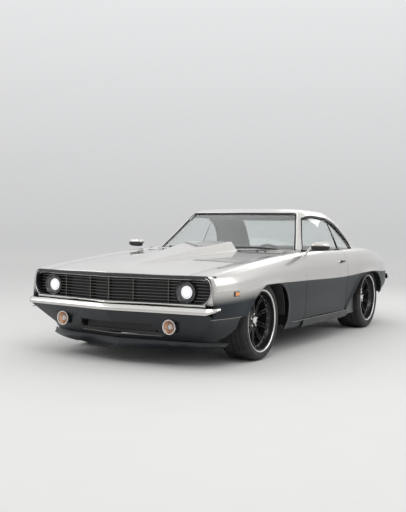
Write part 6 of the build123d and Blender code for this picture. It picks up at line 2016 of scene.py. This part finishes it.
def dialShapes():
    # a raised ring and a shallow face with a centre boss for each dial
    rims, faces = [], []
    for x, z, r in dash["dials"]:
        y = dash["dialY"]
        rims.append(spun(dash["rim"] + np.array([y, r]), (x, 0, z), 1, 40, close=True))
        faces.append(spun([(y - 0.002, r - 0.002), (y + 0.0005, r - 0.004), (y + 0.0008, 0.006), (y + 0.004, 0.005),
                           (y + 0.004, 0.0)], (x, 0, z), 1, 40))
    return joined(*rims), joined(*faces)


steer = {"hub": np.array([0.370, -0.195, 0.745]), "tilt": math.radians(20), "ring": 0.178, "grip": 0.0135}


def onWheel(points):
    # from the steering wheel's own plane (across, down its face, along its axis) to the car
    t = steer["tilt"]
    axis = np.array([0, math.cos(t), math.sin(t)])
    down = np.array([0, math.sin(t), -math.cos(t)])
    p = np.asarray(points, float)
    return steer["hub"] + p[..., :1] * np.array([1.0, 0, 0]) + p[..., 1:2] * down + p[..., 2:] * axis


def steeringShapes():
    # ring: a torus whose grip swells 24 times a turn; three flat spokes; a dished hub
    a = circle(96)
    b = circle(18)
    grip = steer["grip"] * (1 + 0.05 * np.cos(a * 24))[:, None]
    r = steer["ring"] + grip * np.cos(b)
    rim = sheetOf(onWheel(xyz(r * np.cos(a)[:, None], r * np.sin(a)[:, None], grip * 1.05 * np.sin(b))), True, True)
    spokes = []
    for turn in (0, math.pi, math.pi / 2):
        f = np.linspace(0.030, 0.172, 10)
        w = np.interp(f, [0.03, 0.09, 0.172], [0.020, 0.011, 0.015])
        prof = np.array([(-1, -0.002), (-0.9, 0.001), (0.9, 0.001), (1, -0.002), (0.8, -0.005), (-0.8, -0.005)])
        along, across = f[:, None], prof[:, 0] * w[:, None]
        g = xyz(along * math.cos(turn) - across * math.sin(turn), along * math.sin(turn) + across * math.cos(turn),
                prof[:, 1] - 0.0048 * (1 - along / 0.172))
        spokes.append(capped(onWheel(g)))
    hubV, hubF = spun([(-0.0395, 0.0), (-0.0395, 0.026), (-0.018, 0.036), (-0.004, 0.041), (0.002, 0.039),
                       (0.0045, 0.030), (0.0045, 0.0)], (0, 0, 0), 2, 44)
    return rim, joined(*spokes), (onWheel(hubV), hubF)


rimShape, spokeShapes, hubShape = steeringShapes()
t = steer["tilt"]
axisDir = np.array([0, math.cos(t), math.sin(t)])
colStart, colEnd = steer["hub"] - axisDir * 0.255, steer["hub"] - axisDir * 0.0402
column = swept(colStart + np.linspace(0, 1, 8)[:, None] * (colEnd - colStart), oval(0.0255, 0.0255, 28),
               grow=[1.1, 1.1, 1.05, 1, 1, 1, 0.98, 0.92])
stalk = swept(smoothLine([colEnd - axisDir * 0.03 + [0.02, 0, 0], colEnd - axisDir * 0.025 + [0.07, 0, 0.004],
                          colEnd - axisDir * 0.01 + [0.125, 0, 0.010]], 10), oval(0.004, 0.004))
leather = plainFinish("WheelLeather", (0.020, 0.019, 0.018), 0.48, grain=(380.0, 0.30, 0.0005), mottle=(12.0, 0.2))
dashBlack = plainFinish("DashVinyl", (0.020, 0.020, 0.021), 0.62, grain=(520.0, 0.40, 0.0006), mottle=(7.0, 0.2))
dialFace = plainFinish("DialFace", (0.010, 0.010, 0.011), 0.25, grain=(200.0, 0.05, 0.0002), mottle=(30.0, 0.2))
rims, faces = dialShapes()
makePiece("dash_pad", dashShape(), dashBlack, ["dashboard"], sharp=50)
makePiece("dash_dials", faces, dialFace, sharp=50)
makePiece("dash_dial_rims", rims, brightTrim, sharp=50)
makePiece("steering_column", joined(column, stalk), moulded, sharp=50)
makePiece("steering_rim", rimShape, leather, ["steering_wheel"], sharp=80, body="steering")
makePiece("steering_spokes", spokeShapes, steel, bevel=0.0006, body="steering")
makePiece("steering_hub", hubShape, moulded, sharp=50, body="steering")

# console and gear lever: the profiles of boot and knob are (height, radius)
console = {
    "low": (-0.095, -0.252, 0.4215), "high": (0.095, 0.397, 0.520), "corner": 0.022, "bootY": 0.020, "knobY": 0.002,
    "boot": [(0.518, 0.0), (0.518, 0.052), (0.526, 0.050), (0.534, 0.040), (0.548, 0.030), (0.560, 0.021),
             (0.575, 0.012), (0.578, 0.0)],
    "stem": [(0, 0.020, 0.570), (0, 0.010, 0.640), (0, 0.004, 0.690)], "stemR": 0.005,
    "knob": [(0.678, 0.0), (0.680, 0.010), (0.692, 0.020), (0.706, 0.023), (0.720, 0.018), (0.728, 0.009),
             (0.729, 0.0)],
}
boot = spun(console["boot"], (0, console["bootY"], 0), 2, 40)
lever = swept(smoothLine(console["stem"], 10), oval(console["stemR"], console["stemR"]), up=(0, 1, 0))
knob = spun(console["knob"], (0, console["knobY"], 0), 2, 32)
makePiece("console_box", roundedBox(console["low"], console["high"], console["corner"], 5), dashBlack,
          bevel=0.004)
makePiece("gear_lever", joined(boot, knob), leather, sharp=60)
makePiece("gear_stem", lever, brightTrim, sharp=60)

card = {"x": 0.796, "y": (-0.612, 0.398), "z": (0.318, 0.848)}


def cardShapes():
    # inner trim: a shallow pressed panel with pleats, an armrest and a winder
    x, (y0, y1), (z0, z1) = card["x"], card["y"], card["z"]
    y, z = np.meshgrid(np.linspace(y0, y1, 60), np.linspace(z0, z1, 30))
    edge = np.minimum(np.minimum(y - y0, y1 - y), np.minimum(z - z0, z1 - z))
    pleat = (np.abs(np.sin((y - y0) * 60)) < 0.16) & (z > 0.42) & (z < 0.66)
    face = sheetOf(xyz(x - 0.006 * ease(0.010, 0.030, edge) + 0.002 * pleat, y, z))
    path = smoothLine([(x - 0.006, -0.200, 0.600), (x - 0.040, -0.150, 0.604), (x - 0.042, 0.10, 0.600),
                       (x - 0.006, 0.170, 0.590)], 24)
    rest = swept(path, oval(0.020, 0.016, 16))
    boss = spun([(x - 0.030, 0.0), (x - 0.030, 0.010), (x - 0.012, 0.016), (x - 0.002, 0.018)], (0, -0.330, 0.560),
                0, 26)
    crank = swept(smoothLine([(x - 0.024, -0.330, 0.560), (x - 0.030, -0.280, 0.545), (x - 0.032, -0.230, 0.520)],
                             10), oval(0.007, 0.004), up=(1, 0, 0))
    grip = spun([(x - 0.062, 0.0), (x - 0.060, 0.009), (x - 0.045, 0.011), (x - 0.034, 0.008), (x - 0.033, 0.0)],
                (0, -0.230, 0.520), 0, 22)
    return face, rest, joined(boss, crank), grip


cardFace, cardRest, winder, winderGrip = cardShapes()
for side, name, turn in sides:
    body = f"{name}_door"
    makePiece(f"door_{name}_card", turn(cardFace), dashBlack, out=(-side, 0, 0), thick=0.003,
              sharp=50, body=body)
    makePiece(f"door_{name}_armrest", turn(cardRest), leather, sharp=70, body=body)
    makePiece(f"door_{name}_winder", turn(winder), brightTrim, sharp=50, body=body)
    makePiece(f"door_{name}_winder_grip", turn(winderGrip), moulded, sharp=50, body=body)

liningS = np.linspace(levelOf(1.225), levelD[-1], 14)[:, None]
liningW = np.linspace(0, sideKnots[-1], 60)[None, :]
lining = (cabinAt(liningS, liningW) - [0, 0.45, 0.031]) * [0.95, 0.95, 1] + [0, 0.45, 0]
makePiece("roof_lining", bothSides(sheetOf(lining)), roofCloth, out=(0, 0, -1), thick=0.002)
print("cabin done")

# kept frame pieces get their own finishes
def streakFinish(name, dark, light, rough, metal, scale, stretch, bump):
    # worn surface: stretched noise mixes two colours and two roughnesses, a finer noise gives the grain
    mat, tree, shader = startFinish(name, dark, rough, metal)
    wear = noise(tree, scale, 6.0, stretch)
    fine = noise(tree, scale * 30, 3.0)
    feed(shader, Base_Color=blendColour(tree, mapRange(tree, wear, 0.38, 0.68), dark, light),
         Roughness=mapRange(tree, wear, 0.35, 0.70, rough * 0.85, min(1.0, rough * 1.3)))
    addBump(tree, shader, fine, bump, 0.0006)
    return mat


underseal = streakFinish("Underseal", (0.012, 0.012, 0.012), (0.026, 0.024, 0.022), 0.72, 0.0, 5.0, (1.0, 1.0, 1.0),
                         0.45)
frameBlack = streakFinish("FrameBlack", (0.015, 0.015, 0.016), (0.034, 0.032, 0.030), 0.48, 0.1, 9.0,
                          (1.0, 0.4, 1.0), 0.2)
springSteel = streakFinish("SpringSteel", (0.030, 0.029, 0.028), (0.075, 0.066, 0.058), 0.50, 0.6, 12.0,
                           (1.0, 0.15, 1.0), 0.25)
pipeSteel = streakFinish("PipeSteel", (0.26, 0.24, 0.22), (0.40, 0.37, 0.33), 0.36, 1.0, 7.0, (1.0, 0.3, 1.0), 0.12)
rawIron = streakFinish("RawIron", (0.060, 0.057, 0.054), (0.125, 0.112, 0.100), 0.58, 0.7, 10.0, (1.0, 1.0, 1.0),
                       0.40)
blockPaint = streakFinish("BlockPaint", (0.030, 0.031, 0.033), (0.070, 0.070, 0.072), 0.45, 0.3, 6.0,
                          (1.0, 1.0, 0.5), 0.25)
coreDark = streakFinish("CoreDark", (0.020, 0.020, 0.021), (0.048, 0.048, 0.050), 0.50, 0.5, 160.0, (1.0, 1.0, 0.04),
                        0.50)
keptFinish = {
    "underbody": underseal, "wheel_houses": underseal, "front_subframe": frameBlack, "control_arms": frameBlack,
    "leaf_springs": springSteel, "rear_axle": frameBlack, "fuel_tank": underseal, "exhaust": pipeSteel,
    "knuckle_left": rawIron, "knuckle_right": rawIron, "engine": blockPaint, "radiator": coreDark,
    "deck_panel": silverPlain, "tail_panel": satinBlack, "cowl_panel": silverPlain,
}
for name, finish in keptFinish.items():
    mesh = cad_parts[name].data
    mesh.materials.clear()
    mesh.materials.append(finish)
print("kept pieces finished")

# stage: pale floor and backdrop, large soft lights, the camera
stage = {"floor": (0.62, 0.615, 0.605), "worldLow": 0.60, "worldHigh": 1.0, "horizon": (0.0, 0.55)}


def makeStage():
    # a wide floor disc under one pale sky that brightens with height, the same for every ray
    v, f = spun([(0, 0.001), (0, 30.0)], (0, 0, 0), 2, 96)
    mesh = bpy.data.meshes.new("Floor")
    mesh.from_pydata(v.tolist(), [], f.tolist())
    floor = bpy.data.objects.new("Floor", mesh)
    bpy.context.scene.collection.objects.link(floor)
    mat, tree, shader = startFinish("PaleFloor", stage["floor"], 0.85)
    dark = tuple(c * 0.97 for c in stage["floor"])
    feed(shader, Base_Color=blendColour(tree, noise(tree, 3.0, 6.0), dark, stage["floor"]))
    mesh.materials.append(mat)
    world = bpy.data.worlds.new("Studio")
    bpy.context.scene.world = world
    world.use_nodes = True
    tree = world.node_tree
    tree.nodes.clear()
    out = tree.nodes.new("ShaderNodeOutputWorld")
    coords = tree.nodes.new("ShaderNodeTexCoord").outputs["Generated"]
    height = addNode(tree, "SeparateXYZ", Vector=coords).outputs[2]
    level = mapRange(tree, height, stage["horizon"][0], stage["horizon"][1], stage["worldLow"], stage["worldHigh"])
    sky = addNode(tree, "Background", Color=(0.985, 0.99, 1.0, 1), Strength=level)
    tree.links.new(sky.outputs[0], out.inputs["Surface"])


lamps = [
    # place, aim, size, power
    ((2.5, -4.5, 5.5), (0, -0.6, 0.5), (4.5, 3.0), 125),
    ((-4.5, -3.5, 4.5), (0, -0.8, 0.6), (3.5, 3.0), 60),
    ((5.5, 2.0, 3.5), (0, 0.5, 0.6), (4.0, 2.5), 60),
    ((0.0, 6.0, 4.5), (0, 1.0, 0.6), (5.0, 2.5), 55),
]


def makeLights():
    # soft rectangles: each lamp's back axis runs from its aim to its place, its right axis stays level
    for k, (place, aim, size, power) in enumerate(lamps):
        data = bpy.data.lights.new(f"Softbox{k}", "AREA")
        data.shape, data.size, data.size_y, data.energy = "RECTANGLE", size[0], size[1], power
        lamp = bpy.data.objects.new(f"Softbox{k}", data)
        p, a = np.array(place, float), np.array(aim, float)
        back = unit(p - a)
        right = unit(np.cross([0, 0, 1], back))
        m = np.eye(4)
        m[:3, 0], m[:3, 1], m[:3, 2], m[:3, 3] = right, np.cross(back, right), back, p
        lamp.matrix_world = Matrix(m.tolist())
        bpy.context.scene.collection.objects.link(lamp)


view = {"place": (3.55, -6.99, 1.012), "yaw": -0.5255, "pitch": -0.0285, "roll": 0.0165, "focal": 762.0}


def makeCamera():
    # placed and turned as fitted to the photograph, which is 406 by 512
    yaw, pitch, roll = view["yaw"], view["pitch"], view["roll"]
    ahead = np.array([math.sin(yaw) * math.cos(pitch), math.cos(yaw) * math.cos(pitch), math.sin(pitch)])
    right = np.array([math.cos(yaw), -math.sin(yaw), 0.0])
    up = np.cross(right, ahead)
    c, s = math.cos(roll), math.sin(roll)
    m = np.eye(4)
    m[:3, 0], m[:3, 1], m[:3, 2], m[:3, 3] = c * right + s * up, c * up - s * right, -ahead, view["place"]
    data = bpy.data.cameras.new("Camera")
    data.sensor_width, data.sensor_fit, data.lens = 36.0, "AUTO", view["focal"] / 512 * 36.0
    camera = bpy.data.objects.new("Camera", data)
    camera.matrix_world = Matrix(m.tolist())
    bpy.context.scene.collection.objects.link(camera)
    bpy.context.scene.camera = camera


makeStage()
makeLights()
makeCamera()
bpy.context.scene.view_settings.view_transform = "Standard"
print("stage, lights and camera ready")
